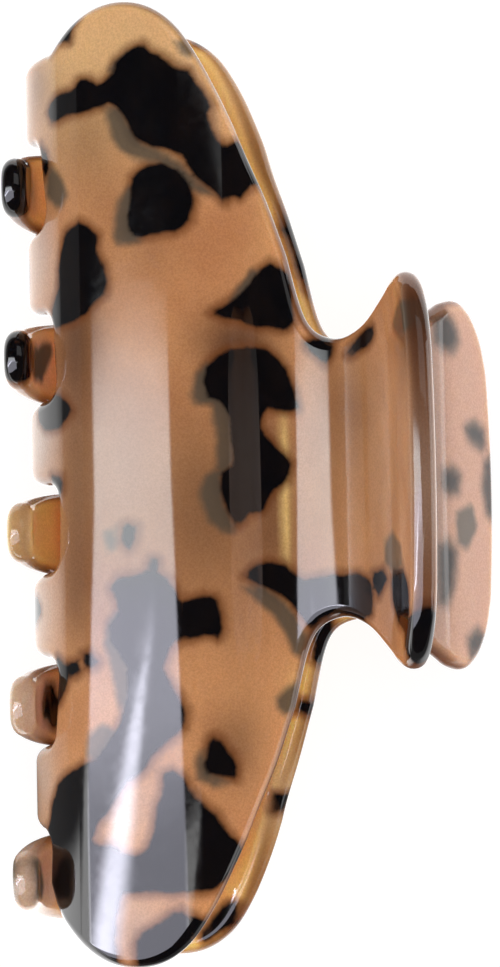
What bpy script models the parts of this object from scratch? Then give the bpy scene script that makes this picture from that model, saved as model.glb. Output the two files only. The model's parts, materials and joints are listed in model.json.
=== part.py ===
"""Claw clip, closed and lying on its back jaw: two bent sheet jaws, a pinned steel hinge and a torsion spring.

Metres, +Z up. X runs along the hinge, Y from the teeth to the handles, and the front jaw opens upward.
"""
import math

import bmesh
import bpy
from mathutils import Matrix, Vector

MM = 0.001

# Jaw sheet and its bent profile, in millimetres and degrees, measured on the middle of the sheet
SHEET = 3.0
EDGE = 0.75
VALLEY = 5.0
NECK_R, NECK_TURN = 8.0, 25.0
HANDLE_R, HANDLE_TURN = 21.0, 67.0
HANDLE_FLAT = 6.8
WAIST_R, WAIST_TURN = 10.5, 46.0
SHOULDER_R = 11.4
JAW_R, JAW_TURN = 17.6, 103.0

# Flat pattern of a jaw, in millimetres
RIM_ARCH = 2.0
RIM_HALF = 22.0
TOOTH_PITCH = 20.0
TOOTH_FIRST = -45.2
TEETH = 5
TOOTH_ROOT, TOOTH_TIP = 5.2, 2.75
ROOT_LINE, ROOT_ARCH = -31.2, 0.0019
ROOT_FILLET = 1.9
TIP_ROUND = 2.3

# Hinge, in millimetres
PIN_R = 0.9
PIN_HALF = 12.2
PIN_HEAD_R, PIN_HEAD = 1.8, 0.9
BORE_R = 1.0
KNUCKLE_R = 1.9
KNUCKLES = ((-11.4, -8.5), (5.0, 7.9))
LEAF = 0.8
LEAF_GAP = 0.3
LEAF_HALF, LEAF_LOW, LEAF_TOP = 12.0, -6.2, 2.6
STUD_X, STUD_S = 8.4, -3.9
STUD_R, STUD_HEAD_R, STUD_HEAD = 0.85, 1.25, 0.5
STUD_HOLE_R = 1.0
STUD_END, HOLE_END = -0.35, 0.0

# Torsion spring, in millimetres
WIRE_R = 0.4
COIL_R = 1.55
COIL_TURNS = 7
COIL_PITCH = 1.1
COIL_STEPS = 14

# Sides of the clip
FRONT, BACK = 1.0, -1.0


def rad(a):
    return math.radians(a)


def segments():
    """Profile pieces above and below the valley as (length, curvature)."""
    up = [
        (NECK_R * rad(NECK_TURN), 1.0 / NECK_R),
        (HANDLE_R * rad(HANDLE_TURN - NECK_TURN), 1.0 / HANDLE_R),
        (HANDLE_FLAT, 0.0),
    ]
    down = [
        (WAIST_R * rad(WAIST_TURN), 1.0 / WAIST_R),
        (SHOULDER_R * rad(WAIST_TURN), -1.0 / SHOULDER_R),
        (JAW_R * rad(JAW_TURN), -1.0 / JAW_R),
    ]
    return up, down


UP, DOWN = segments()
RIM_S = sum(length for length, k in UP)
TIP_S = -sum(length for length, k in DOWN)


def middle(s):
    """Point (out, up) of the sheet's middle and its lean at arc length s from the valley."""
    pieces, sign = (UP, 1.0) if s >= 0 else (DOWN, -1.0)
    left, out, up, lean = abs(s), VALLEY, 0.0, 0.0
    for i, (length, k) in enumerate(pieces):
        run = left if i == len(pieces) - 1 else min(left, length)
        if k == 0.0:
            out += run * math.sin(lean)
            up += run * math.cos(lean)
        else:
            end = lean + run * k
            out += (math.cos(lean) - math.cos(end)) / k
            up += (math.sin(end) - math.sin(lean)) / k
            lean = end
        left -= run
        if left <= 0:
            break
    return out, sign * up, -sign * lean


def bend(x, s, n, side):
    """Flat pattern point (x, s), n off the middle toward the outside, on the bent jaw of a side."""
    out, up, tilt = middle(s)
    out += n * math.cos(tilt)
    up += n * math.sin(tilt)
    return Vector((side * x, -side * out, up))


def normal(s, side):
    tilt = middle(s)[2]
    return Vector((0.0, -side * math.cos(tilt), math.sin(tilt)))


def smooth(points, steps):
    """Points of a rounded line through the given points."""
    result = []
    last = len(points) - 1
    for i in range(last):
        p0, p1, p2, p3 = (points[max(0, min(last, i + j))] for j in (-1, 0, 1, 2))
        for j in range(steps):
            t = j / steps
            result.append(
                tuple(
                    0.5
                    * (
                        2 * b
                        + (c - a) * t
                        + (2 * a - 5 * b + 4 * c - d) * t * t
                        + (3 * b - a - 3 * c + d) * t ** 3
                    )
                    for a, b, c, d in zip(p0, p1, p2, p3)
                )
            )
    result.append(points[last])
    return result


def arc(cx, cy, r, a0, a1, steps):
    return [
        (
            cx + r * math.cos(rad(a0 + (a1 - a0) * i / steps)),
            cy + r * math.sin(rad(a0 + (a1 - a0) * i / steps)),
        )
        for i in range(steps + 1)
    ]


def root_line(x):
    return ROOT_LINE - ROOT_ARCH * x * x


def flank():
    """Right-hand side of the flat pattern, from the middle of the rim down to the end of the body."""
    rim = [
        (RIM_HALF * 0.62 * i / 5, RIM_S - RIM_ARCH * (0.62 * i / 5) ** 2)
        for i in range(6)
    ]
    corner = smooth(
        [
            rim[-1],
            (17.3, RIM_S - 1.95),
            (20.2, RIM_S - 3.9),
            (21.7, RIM_S - 6.0),
            (RIM_HALF, RIM_S - 7.6),
            (21.5, RIM_S - 9.7),
        ],
        3,
    )
    waist = smooth(
        [
            (21.5, RIM_S - 9.7),
            (19.7, 12.9),
            (17.3, 9.2),
            (16.0, 5.8),
            (16.0, 3.2),
            (17.1, 1.0),
            (19.8, -0.4),
            (25.8, -1.9),
        ],
        2,
    )
    end = smooth(
        [
            (25.8, -1.9),
            (32.2, -4.2),
            (37.6, -6.8),
            (43.3, -9.7),
            (48.2, -12.3),
            (52.0, -14.9),
            (54.2, -17.8),
            (55.0, -21.0),
            (54.6, -24.4),
            (53.0, -27.9),
            (50.4, -31.4),
        ],
        2,
    )
    return rim[:-1] + corner[:-1] + waist[:-1] + end


def tooth(c):
    """Outline of one tooth centred at c, from its left root to its right root."""
    s0 = root_line(c)
    s1 = TIP_S
    span = s0 - s1

    def half(u):
        return TOOTH_ROOT - 0.6 * u - (TOOTH_ROOT - 0.6 - TOOTH_TIP) * u * u

    down = []
    for u in (0.12, 0.3, 0.5, 0.68, 0.84):
        down.append((half(u), s0 - u * span))
    tip = arc(half(0.97) - TIP_ROUND, s1 + TIP_ROUND, TIP_ROUND, 0.0, -90.0, 5)
    left = [(-h, s) for h, s in down + tip]
    right = [(h, s) for h, s in (down + tip)[::-1]]
    return [(c + h, s) for h, s in left + right]


def jaw_outline():
    """Closed flat pattern of a jaw."""
    side = flank()
    centres = [TOOTH_FIRST + TOOTH_PITCH * i for i in range(TEETH)]
    # from the right-hand end of the body along the root line to the teeth, right to left
    bottom = []
    bottom += [(48.4, -33.2), (45.8, root_line(43.4))]
    for i in range(TEETH - 1, -1, -1):
        c = centres[i]
        # rounded root corner on the right of the tooth
        r = ROOT_FILLET
        bottom += [(x, s) for x, s in arc(c + TOOTH_ROOT + r, root_line(c + 6) - r, r, 90.0, 176.0, 4)]
        bottom += tooth(c)[::-1]
        if i > 0:
            bottom += [(x, s) for x, s in arc(c - TOOTH_ROOT - r, root_line(c - 6) - r, r, 4.0, 90.0, 4)]
    left = [(-x, s) for x, s in side[::-1]]
    return side + bottom + left[:-1]


def flat_sheet(name, outline, half, edge, stations, side, shift=0.0):
    """Closed sheet cut to an outline, edges eased, then bent over the profile."""
    curve = bpy.data.curves.new(name, "CURVE")
    curve.dimensions = "2D"
    curve.fill_mode = "BOTH"
    curve.extrude = half - edge
    curve.bevel_depth = edge
    curve.bevel_resolution = 0
    curve.offset = -edge
    spline = curve.splines.new("POLY")
    spline.points.add(len(outline) - 1)
    for point, (x, s) in zip(spline.points, outline):
        point.co = (x, s, 0.0, 1.0)
    spline.use_cyclic_u = True
    temp = bpy.data.objects.new(name, curve)
    bpy.context.scene.collection.objects.link(temp)
    bpy.context.view_layer.update()
    mesh = bpy.data.meshes.new_from_object(
        temp.evaluated_get(bpy.context.evaluated_depsgraph_get())
    )
    bpy.data.objects.remove(temp)
    bpy.data.curves.remove(curve)
    bm = bmesh.new()
    bm.from_mesh(mesh)
    bmesh.ops.remove_doubles(bm, verts=bm.verts, dist=0.00005)
    bmesh.ops.dissolve_limit(bm, angle_limit=0.001, verts=bm.verts, edges=bm.edges)
    for s in stations:
        bmesh.ops.bisect_plane(
            bm,
            geom=bm.verts[:] + bm.edges[:] + bm.faces[:],
            dist=0.00005,
            plane_co=(0.0, s, 0.0),
            plane_no=(0.0, 1.0, 0.0),
        )
    bmesh.ops.triangulate(bm, faces=bm.faces)
    for v in bm.verts:
        x, s, n = v.co
        v.co = bend(x, s, n + shift, side)
    bmesh.ops.recalc_face_normals(bm, faces=bm.faces)
    bm.to_mesh(mesh)
    bm.free()
    return mesh


def spread(a, b, step):
    count = max(1, int(math.ceil((b - a) / step)))
    return [a + (b - a) * i / count for i in range(1, count)]


def stations(low, high):
    edges = [TIP_S]
    for length, k in DOWN[::-1]:
        edges.append(edges[-1] + length)
    edges[-1] = 0.0
    for length, k in UP:
        edges.append(edges[-1] + length)
    steps = (2.3, 2.0, 1.7, 1.2, 2.3, 7.0)
    result = []
    for a, b, step in zip(edges, edges[1:], steps):
        result += spread(a, b, step) + [b]
    return [s for s in result if low + 0.01 < s < high - 0.01]


def drum(name, centre, axis, r, half, count=24):
    """Closed cylinder about an axis."""
    bm = bmesh.new()
    turn = Vector((0, 0, 1)).rotation_difference(Vector(axis)).to_matrix().to_4x4()
    bmesh.ops.create_cone(
        bm,
        cap_ends=True,
        segments=count,
        radius1=r,
        radius2=r,
        depth=2 * half,
        matrix=Matrix.Translation(Vector(centre)) @ turn,
    )
    mesh = bpy.data.meshes.new(name)
    bm.to_mesh(mesh)
    bm.free()
    return mesh


def block(name, low, high):
    bm = bmesh.new()
    size = Vector(high) - Vector(low)
    centre = (Vector(high) + Vector(low)) / 2
    bmesh.ops.create_cube(
        bm, size=1.0, matrix=Matrix.Translation(centre) @ Matrix.Diagonal((*size, 1.0))
    )
    mesh = bpy.data.meshes.new(name)
    bm.to_mesh(mesh)
    bm.free()
    return mesh


def combine(name, base, others, operation):
    """Base mesh joined with, or cut by, the other meshes."""
    target = bpy.data.objects.new(name, base)
    bpy.context.scene.collection.objects.link(target)
    tools = []
    for i, mesh in enumerate(others):
        tool = bpy.data.objects.new("%s_tool_%d" % (name, i), mesh)
        tool.hide_render = True
        tool.display_type = "WIRE"
        CUTTERS.objects.link(tool)
        tools.append(tool)
        modifier = target.modifiers.new("tool_%d" % i, "BOOLEAN")
        modifier.operation = operation
        modifier.solver = "EXACT"
        modifier.object = tool
    bpy.context.view_layer.update()
    mesh = bpy.data.meshes.new_from_object(
        target.evaluated_get(bpy.context.evaluated_depsgraph_get())
    )
    for tool in tools + [target]:
        bpy.data.objects.remove(tool)
    return mesh


def stud_axis(x, side):
    return bend(x, STUD_S, 0.0, side), normal(STUD_S, side)


def along(origin, direction, a, b):
    """Middle and half length of the stretch from a to b along a direction."""
    return origin + direction * ((a + b) / 2), (b - a) / 2


def make_jaw(name, side):
    sheet = flat_sheet(
        name, jaw_outline(), SHEET / 2, EDGE, stations(TIP_S, RIM_S), side
    )
    holes = []
    for x in (-STUD_X, STUD_X):
        origin, direction = stud_axis(x, side)
        centre, half = along(origin, direction, -SHEET / 2 - 1.0, HOLE_END)
        holes.append(drum("hole", centre, direction, STUD_HOLE_R, half, 16))
    return combine(name, sheet, holes, "DIFFERENCE")


def leaf_middle():
    return -SHEET / 2 - LEAF_GAP - LEAF / 2


def make_leaf(name, side):
    """Stamped leaf that follows the inside of the neck, with two knuckles round the pin."""
    r = 1.2
    outline = []
    for cx, cs, a0 in (
        (LEAF_HALF - r, LEAF_TOP - r, 90.0),
        (LEAF_HALF - r, LEAF_LOW + r, 0.0),
        (-LEAF_HALF + r, LEAF_LOW + r, -90.0),
        (-LEAF_HALF + r, LEAF_TOP - r, -180.0),
    ):
        outline += arc(cx, cs, r, a0, a0 - 90.0, 4)
    plate = flat_sheet(
        name, outline, LEAF / 2, 0.12, stations(LEAF_LOW, LEAF_TOP), side, leaf_middle()
    )
    reach = VALLEY + leaf_middle()
    adds = []
    for x0, x1 in KNUCKLES:
        centre = (side * (x0 + x1) / 2, 0.0, 0.0)
        adds.append(drum("knuckle", centre, (1, 0, 0), KNUCKLE_R, (x1 - x0) / 2))
        xs = sorted((side * x0, side * x1))
        ys = sorted((0.0, -side * reach))
        adds.append(
            block(
                "web",
                (xs[0] + 0.02, ys[0], -1.35),
                (xs[1] - 0.02, ys[1], 1.35),
            )
        )
    leaf = combine(name, plate, adds, "UNION")
    cuts = [drum("bore", (0, 0, 0), (1, 0, 0), BORE_R, 20.0)]
    for x in (-STUD_X, STUD_X):
        origin, direction = stud_axis(x, side)
        centre, half = along(origin, direction, leaf_middle() - 1.5, leaf_middle() + 1.5)
        cuts.append(drum("hole", centre, direction, STUD_HOLE_R, half, 16))
    return combine(name, leaf, cuts, "DIFFERENCE")


def lathe(name, profile, centre, axis, count):
    """Solid of revolution from (radius, height) points, closed on its axis at both ends."""
    bm = bmesh.new()
    verts = [bm.verts.new((r, 0.0, h)) for r, h in profile]
    for a, b in zip(verts, verts[1:]):
        bm.edges.new((a, b))
    mesh = bpy.data.meshes.new(name)
    bm.to_mesh(mesh)
    bm.free()
    temp = bpy.data.objects.new(name, mesh)
    bpy.context.scene.collection.objects.link(temp)
    screw = temp.modifiers.new("turn", "SCREW")
    screw.axis = "Z"
    screw.steps = count
    screw.render_steps = count
    screw.use_merge_vertices = True
    screw.merge_threshold = 0.00005
    screw.use_smooth_shade = False
    bpy.context.view_layer.update()
    result = bpy.data.meshes.new_from_object(
        temp.evaluated_get(bpy.context.evaluated_depsgraph_get())
    )
    bpy.data.objects.remove(temp)
    turn = Vector((0, 0, 1)).rotation_difference(Vector(axis)).to_matrix().to_4x4()
    result.transform(Matrix.Translation(Vector(centre)) @ turn)
    bm = bmesh.new()
    bm.from_mesh(result)
    bmesh.ops.remove_doubles(bm, verts=bm.verts, dist=0.00005)
    bmesh.ops.recalc_face_normals(bm, faces=bm.faces)
    bm.to_mesh(result)
    bm.free()
    return result


def make_pin(name):
    h, r, c = PIN_HALF, PIN_R, 0.25
    profile = [
        (0.0, -h - PIN_HEAD),
        (PIN_HEAD_R * 0.6, -h - PIN_HEAD),
        (PIN_HEAD_R, -h - PIN_HEAD * 0.55),
        (PIN_HEAD_R, -h),
        (r, -h),
        (r, h),
        (PIN_HEAD_R * 0.8, h),
        (PIN_HEAD_R * 0.8, h + c),
        (PIN_HEAD_R * 0.5, h + 0.6),
        (0.0, h + 0.6),
    ]
    return lathe(name, profile, (0, 0, 0), (1, 0, 0), 24)


def make_stud(name, x, side):
    origin, direction = stud_axis(x, side)
    face = leaf_middle() - LEAF / 2 - 0.1
    profile = [
        (0.0, face - STUD_HEAD),
        (STUD_HEAD_R * 0.7, face - STUD_HEAD),
        (STUD_HEAD_R, face - STUD_HEAD * 0.5),
        (STUD_HEAD_R, face),
        (STUD_R, face),
        (STUD_R, STUD_END - 0.2),
        (STUD_R - 0.2, STUD_END),
        (0.0, STUD_END),
    ]
    return lathe(name, profile, origin, direction, 16)


def spring_path():
    """Centre line of the wire: a leg on the front handle, the coil, a leg on the back handle."""
    length = COIL_TURNS * COIL_PITCH

    def leg(side):
        points = []
        for s, n in ((11.2, -2.4), (9.0, -2.75), (6.6, -3.15), (4.2, -3.42), (1.6, -3.45)):
            p = bend(0.0, s, n, side)
            points.append((-side * length / 2, p.y, p.z))
        return points

    total = COIL_TURNS + 0.5
    count = int(COIL_STEPS * total)
    coil = []
    for i in range(count + 1):
        t = i / count
        a = math.pi + 2 * math.pi * total * t
        coil.append(
            (-length / 2 + length * t, COIL_R * math.cos(a), COIL_R * math.sin(a))
        )
    return leg(FRONT) + coil + leg(BACK)[::-1]


def make_spring(name):
    curve = bpy.data.curves.new(name, "CURVE")
    curve.dimensions = "3D"
    curve.bevel_depth = WIRE_R
    curve.bevel_resolution = 2
    curve.use_fill_caps = True
    curve.twist_mode = "MINIMUM"
    points = spring_path()
    spline = curve.splines.new("POLY")
    spline.points.add(len(points) - 1)
    for point, p in zip(spline.points, points):
        point.co = (*p, 1.0)
    temp = bpy.data.objects.new(name, curve)
    bpy.context.scene.collection.objects.link(temp)
    bpy.context.view_layer.update()
    mesh = bpy.data.meshes.new_from_object(
        temp.evaluated_get(bpy.context.evaluated_depsgraph_get())
    )
    bpy.data.objects.remove(temp)
    bm = bmesh.new()
    bm.from_mesh(mesh)
    bmesh.ops.remove_doubles(bm, verts=bm.verts, dist=0.00005)
    bmesh.ops.recalc_face_normals(bm, faces=bm.faces)
    bm.to_mesh(mesh)
    bm.free()
    return mesh


def lying(jaws):
    """Turn about the hinge direction that lays the teeth, or the body, and the back rim on the floor."""
    points = [v.co.copy() for jaw in jaws for v in jaw.vertices]
    body = [p for p in points if p.z < 0]
    rim = [p for p in points if p.z > 0]

    def height(p, a):
        return -p.y * math.cos(a) + p.z * math.sin(a)

    low, high = 0.0, rad(40.0)
    for _ in range(60):
        a = (low + high) / 2
        if min(height(p, a) for p in rim) < min(height(p, a) for p in body):
            low = a
        else:
            high = a
    return (low + high) / 2


def material(name, colour, metallic, roughness, ior=1.47):
    result = bpy.data.materials.new(name)
    result.use_nodes = True
    shader = result.node_tree.nodes["Principled BSDF"]
    shader.inputs["Base Color"].default_value = (*colour, 1.0)
    shader.inputs["Metallic"].default_value = metallic
    shader.inputs["Roughness"].default_value = roughness
    shader.inputs["IOR"].default_value = ior
    result.diffuse_color = (*colour, 1.0)
    return result


for existing in list(bpy.data.objects):
    bpy.data.objects.remove(existing)

CUTTERS = bpy.data.collections.new("cutters")
bpy.context.scene.collection.children.link(CUTTERS)
PARTS = bpy.data.collections.new("claw_clip")
bpy.context.scene.collection.children.link(PARTS)

ACETATE_FRONT = material("acetate_front", (0.50, 0.26, 0.10), 0.0, 0.12, 1.48)
ACETATE_BACK = material("acetate_back", (0.48, 0.25, 0.10), 0.0, 0.12, 1.48)
LEAF_STEEL = material("leaf_steel", (0.62, 0.60, 0.57), 1.0, 0.28)
PIN_STEEL = material("pin_steel", (0.68, 0.67, 0.65), 1.0, 0.22)
SPRING_STEEL = material("spring_steel", (0.50, 0.50, 0.51), 1.0, 0.25)
STUD_STEEL = material("stud_steel", (0.66, 0.64, 0.60), 1.0, 0.26)

meshes = {
    "front_jaw": (make_jaw("front_jaw", FRONT), ACETATE_FRONT),
    "back_jaw": (make_jaw("back_jaw", BACK), ACETATE_BACK),
    "front_hinge_leaf": (make_leaf("front_hinge_leaf", FRONT), LEAF_STEEL),
    "back_hinge_leaf": (make_leaf("back_hinge_leaf", BACK), LEAF_STEEL),
    "hinge_pin": (make_pin("hinge_pin"), PIN_STEEL),
    "torsion_spring": (make_spring("torsion_spring"), SPRING_STEEL),
    "front_stud_a": (make_stud("front_stud_a", -STUD_X, FRONT), STUD_STEEL),
    "front_stud_b": (make_stud("front_stud_b", STUD_X, FRONT), STUD_STEEL),
    "back_stud_a": (make_stud("back_stud_a", -STUD_X, BACK), STUD_STEEL),
    "back_stud_b": (make_stud("back_stud_b", STUD_X, BACK), STUD_STEEL),
}

LEAN = lying([meshes["front_jaw"][0], meshes["back_jaw"][0]])
# clip axes (along, deep, up) to floor axes
TURN = Matrix(
    (
        (1.0, 0.0, 0.0, 0.0),
        (0.0, math.sin(LEAN), math.cos(LEAN), 0.0),
        (0.0, -math.cos(LEAN), math.sin(LEAN), 0.0),
        (0.0, 0.0, 0.0, 1.0),
    )
)
corners = [TURN @ v.co for mesh, look in meshes.values() for v in mesh.vertices]
SHIFT = Vector(
    (
        -(min(p.x for p in corners) + max(p.x for p in corners)) / 2,
        -(min(p.y for p in corners) + max(p.y for p in corners)) / 2,
        -min(p.z for p in corners),
    )
)
PIN = SHIFT * MM

hinge = bpy.data.objects.new("hinge_axis", None)
hinge.empty_display_size = 0.01
hinge.location = PIN
PARTS.objects.link(hinge)

for name, (mesh, look) in meshes.items():
    mesh.transform(Matrix.Scale(MM, 4) @ TURN)
    mesh.materials.clear()
    mesh.materials.append(look)
    mesh.validate()
    part = bpy.data.objects.new(name, mesh)
    PARTS.objects.link(part)
    if name.startswith("front_"):
        part.parent = hinge
    else:
        part.location = PIN
bpy.context.view_layer.update()
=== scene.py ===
"""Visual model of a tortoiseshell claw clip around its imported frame, with floor, soft light and camera."""

import json
import math

import bmesh
import bpy
import numpy as np
from mathutils import Matrix, Vector
from mathutils.geometry import delaunay_2d_cdt


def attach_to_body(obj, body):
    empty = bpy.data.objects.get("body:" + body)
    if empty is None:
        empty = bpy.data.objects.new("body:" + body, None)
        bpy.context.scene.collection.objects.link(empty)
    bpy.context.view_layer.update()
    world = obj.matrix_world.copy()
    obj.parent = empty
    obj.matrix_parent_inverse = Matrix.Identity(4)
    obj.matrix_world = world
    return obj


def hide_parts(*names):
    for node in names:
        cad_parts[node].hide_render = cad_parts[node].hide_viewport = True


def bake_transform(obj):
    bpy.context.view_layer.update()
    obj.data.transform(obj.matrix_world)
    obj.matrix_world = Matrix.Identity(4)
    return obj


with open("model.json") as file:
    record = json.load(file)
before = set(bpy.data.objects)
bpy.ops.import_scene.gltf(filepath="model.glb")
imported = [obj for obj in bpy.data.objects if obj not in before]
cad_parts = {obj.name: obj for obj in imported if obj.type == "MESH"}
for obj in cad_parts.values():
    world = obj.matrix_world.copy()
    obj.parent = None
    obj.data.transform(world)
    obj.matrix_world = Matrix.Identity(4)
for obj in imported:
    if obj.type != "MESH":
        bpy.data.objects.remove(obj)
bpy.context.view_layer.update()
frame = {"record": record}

# ---------------------------------------------------------------- sizes, in millimetres and degrees, as in the solids
MM = 0.001
SHEET = 3.0
ROUND = 1.46
VALLEY = 5.0
NECK_R, NECK_TURN = 8.0, 25.0
HANDLE_R, HANDLE_TURN = 21.0, 67.0
HANDLE_FLAT = 6.8
WAIST_R, WAIST_TURN = 10.5, 46.0
SHOULDER_R = 11.4
JAW_R, JAW_TURN = 17.6, 103.0
RIM_ARCH = 2.0
RIM_HALF = 22.0
TOOTH_PITCH = 20.0
TOOTH_FIRST = -45.2
TEETH = 5
TOOTH_ROOT, TOOTH_TIP = 5.2, 2.75
ROOT_LINE, ROOT_ARCH = -31.2, 0.0019
ROOT_FILLET = 1.9
TIP_ROUND = 2.3
PIN_R, PIN_HALF, PIN_HEAD_R, PIN_HEAD = 0.9, 12.2, 1.8, 0.9
BORE_R, KNUCKLE_R = 1.0, 1.9
KNUCKLES = ((-11.4, -8.5), (5.0, 7.9))
LEAF, LEAF_GAP = 0.8, 0.3
LEAF_HALF, LEAF_LOW, LEAF_TOP = 12.0, -6.2, 2.6
STUD_X, STUD_S = 8.4, -3.9
STUD_R, STUD_HEAD_R, STUD_HEAD, STUD_HOLE_R, STUD_END = 0.85, 1.25, 0.5, 1.0, -0.35
WIRE_R, COIL_R, COIL_TURNS, COIL_PITCH = 0.4, 1.55, 7, 1.1
FRONT, BACK = 1.0, -1.0

LEAN = math.radians(14.8288138)
PIN = Vector(frame["record"]["behaviour"]["joints"][0]["pos_m"])
TURN = np.array(
    (
        (1.0, 0.0, 0.0),
        (0.0, math.sin(LEAN), math.cos(LEAN)),
        (0.0, -math.cos(LEAN), math.sin(LEAN)),
    )
)


def rad(a):
    return math.radians(a)


# ---------------------------------------------------------------- bent profile of the sheet
UP = (
    (NECK_R * rad(NECK_TURN), 1.0 / NECK_R),
    (HANDLE_R * rad(HANDLE_TURN - NECK_TURN), 1.0 / HANDLE_R),
    (HANDLE_FLAT, 0.0),
)
DOWN = (
    (WAIST_R * rad(WAIST_TURN), 1.0 / WAIST_R),
    (SHOULDER_R * rad(WAIST_TURN), -1.0 / SHOULDER_R),
    (JAW_R * rad(JAW_TURN), -1.0 / JAW_R),
)
RIM_S = sum(length for length, k in UP)
TIP_S = -sum(length for length, k in DOWN)


def middle(s):
    """Point (out, up) of the sheet's middle and its lean at arc length s from the valley."""
    pieces, sign = (UP, 1.0) if s >= 0 else (DOWN, -1.0)
    left, out, up, lean = abs(s), VALLEY, 0.0, 0.0
    for i, (length, k) in enumerate(pieces):
        run = left if i == len(pieces) - 1 else min(left, length)
        if k == 0.0:
            out += run * math.sin(lean)
            up += run * math.cos(lean)
        else:
            end = lean + run * k
            out += (math.cos(lean) - math.cos(end)) / k
            up += (math.sin(end) - math.sin(lean)) / k
            lean = end
        left -= run
        if left <= 0:
            break
    return out, sign * up, -sign * lean


PROFILE_S = np.linspace(TIP_S - 1.0, RIM_S + 1.0, 3000)
PROFILE = np.array([middle(s) for s in PROFILE_S])
# the eased lean softens the steps in curvature, as a hot bent sheet does
EASE = 61
_kernel = np.hanning(EASE + 2)[1:-1]
_kernel /= _kernel.sum()
_padded = np.concatenate(
    [np.full(EASE // 2, PROFILE[0, 2]), PROFILE[:, 2], np.full(EASE // 2, PROFILE[-1, 2])]
)
SOFT_TILT = np.convolve(_padded, _kernel, mode="valid")


def bend_all(flat, side):
    """Bent places of flat points (x, s, n), in clip millimetres."""
    s = flat[:, 1]
    out = np.interp(s, PROFILE_S, PROFILE[:, 0])
    up = np.interp(s, PROFILE_S, PROFILE[:, 1])
    tilt = np.interp(s, PROFILE_S, PROFILE[:, 2])
    n = flat[:, 2]
    out = out + n * np.cos(tilt)
    up = up + n * np.sin(tilt)
    return np.stack([side * flat[:, 0], -side * out, up], 1)


def bend_normals(flat, normals, side):
    """Bent directions of flat directions (x, s, n)."""
    tilt = np.interp(flat[:, 1], PROFILE_S, SOFT_TILT)
    x, t, n = normals[:, 0], normals[:, 1], normals[:, 2]
    out = n * np.cos(tilt) - t * np.sin(tilt)
    up = n * np.sin(tilt) + t * np.cos(tilt)
    result = np.stack([side * x, -side * out, up], 1)
    return result / np.linalg.norm(result, axis=1)[:, None]


def to_row(points):
    """Clip millimetres to the row frame in metres."""
    return points @ TURN.T * MM + np.array(PIN)


def place(points):
    return to_row(np.asarray(points, float))


def bend(x, s, n, side):
    return Vector(bend_all(np.array([(x, s, n)], float), side)[0])


# ---------------------------------------------------------------- flat pattern of a jaw
def smooth(points, steps):
    result = []
    last = len(points) - 1
    for i in range(last):
        p0, p1, p2, p3 = (points[max(0, min(last, i + j))] for j in (-1, 0, 1, 2))
        for j in range(steps):
            t = j / steps
            result.append(
                tuple(
                    0.5
                    * (
                        2 * b
                        + (c - a) * t
                        + (2 * a - 5 * b + 4 * c - d) * t * t
                        + (3 * b - a - 3 * c + d) * t ** 3
                    )
                    for a, b, c, d in zip(p0, p1, p2, p3)
                )
            )
    result.append(points[last])
    return result


def arc(cx, cy, r, a0, a1, steps):
    return [
        (
            cx + r * math.cos(rad(a0 + (a1 - a0) * i / steps)),
            cy + r * math.sin(rad(a0 + (a1 - a0) * i / steps)),
        )
        for i in range(steps + 1)
    ]


def root_line(x):
    return ROOT_LINE - ROOT_ARCH * x * x


def flank():
    rim = [
        (RIM_HALF * 0.62 * i / 12, RIM_S - RIM_ARCH * (0.62 * i / 12) ** 2)
        for i in range(13)
    ]
    corner = smooth(
        [
            rim[-1],
            (17.3, RIM_S - 1.95),
            (20.2, RIM_S - 3.9),
            (21.7, RIM_S - 6.0),
            (RIM_HALF, RIM_S - 7.6),
            (21.5, RIM_S - 9.7),
        ],
        8,
    )
    waist = smooth(
        [
            (21.5, RIM_S - 9.7),
            (19.7, 12.9),
            (17.3, 9.2),
            (16.0, 5.8),
            (16.0, 3.2),
            (17.1, 1.0),
            (19.8, -0.4),
            (25.8, -1.9),
        ],
        8,
    )
    end = smooth(
        [
            (25.8, -1.9),
            (32.2, -4.2),
            (37.6, -6.8),
            (43.3, -9.7),
            (48.2, -12.3),
            (52.0, -14.9),
            (54.2, -17.8),
            (55.0, -21.0),
            (54.6, -24.4),
            (53.0, -27.9),
            (50.4, -31.4),
        ],
        8,
    )
    return rim[:-1] + corner[:-1] + waist[:-1] + end


def tooth(c):
    s0 = root_line(c)
    span = s0 - TIP_S

    def half(u):
        return TOOTH_ROOT - 0.6 * u - (TOOTH_ROOT - 0.6 - TOOTH_TIP) * u * u

    start = 0.80
    down = [(half(u), s0 - u * span) for u in np.linspace(0.14, start, 12)]
    tip = []
    for i in range(1, 17):
        a = rad(90.0 * i / 16)
        tip.append((half(start) * math.cos(a) ** 0.86, s0 - span * (start + (1.0 - start) * math.sin(a))))
    left = [(-h, s) for h, s in down + tip]
    right = [(h, s) for h, s in (down + tip[:-1])[::-1]]
    return [(c + h, s) for h, s in left + right]


def jaw_outline():
    side = flank()
    centres = [TOOTH_FIRST + TOOTH_PITCH * i for i in range(TEETH)]
    bottom = [(48.4, -33.2), (45.8, root_line(43.4))]
    r = ROOT_FILLET
    for i in range(TEETH - 1, -1, -1):
        c = centres[i]
        bottom += arc(c + TOOTH_ROOT + r, root_line(c + 6) - r, r, 90.0, 176.0, 8)
        bottom += tooth(c)[::-1]
        if i > 0:
            bottom += arc(c - TOOTH_ROOT - r, root_line(c - 6) - r, r, 4.0, 90.0, 8)
    left = [(-x, s) for x, s in side[::-1]]
    return np.array(side + bottom + left[:-1])


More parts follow.
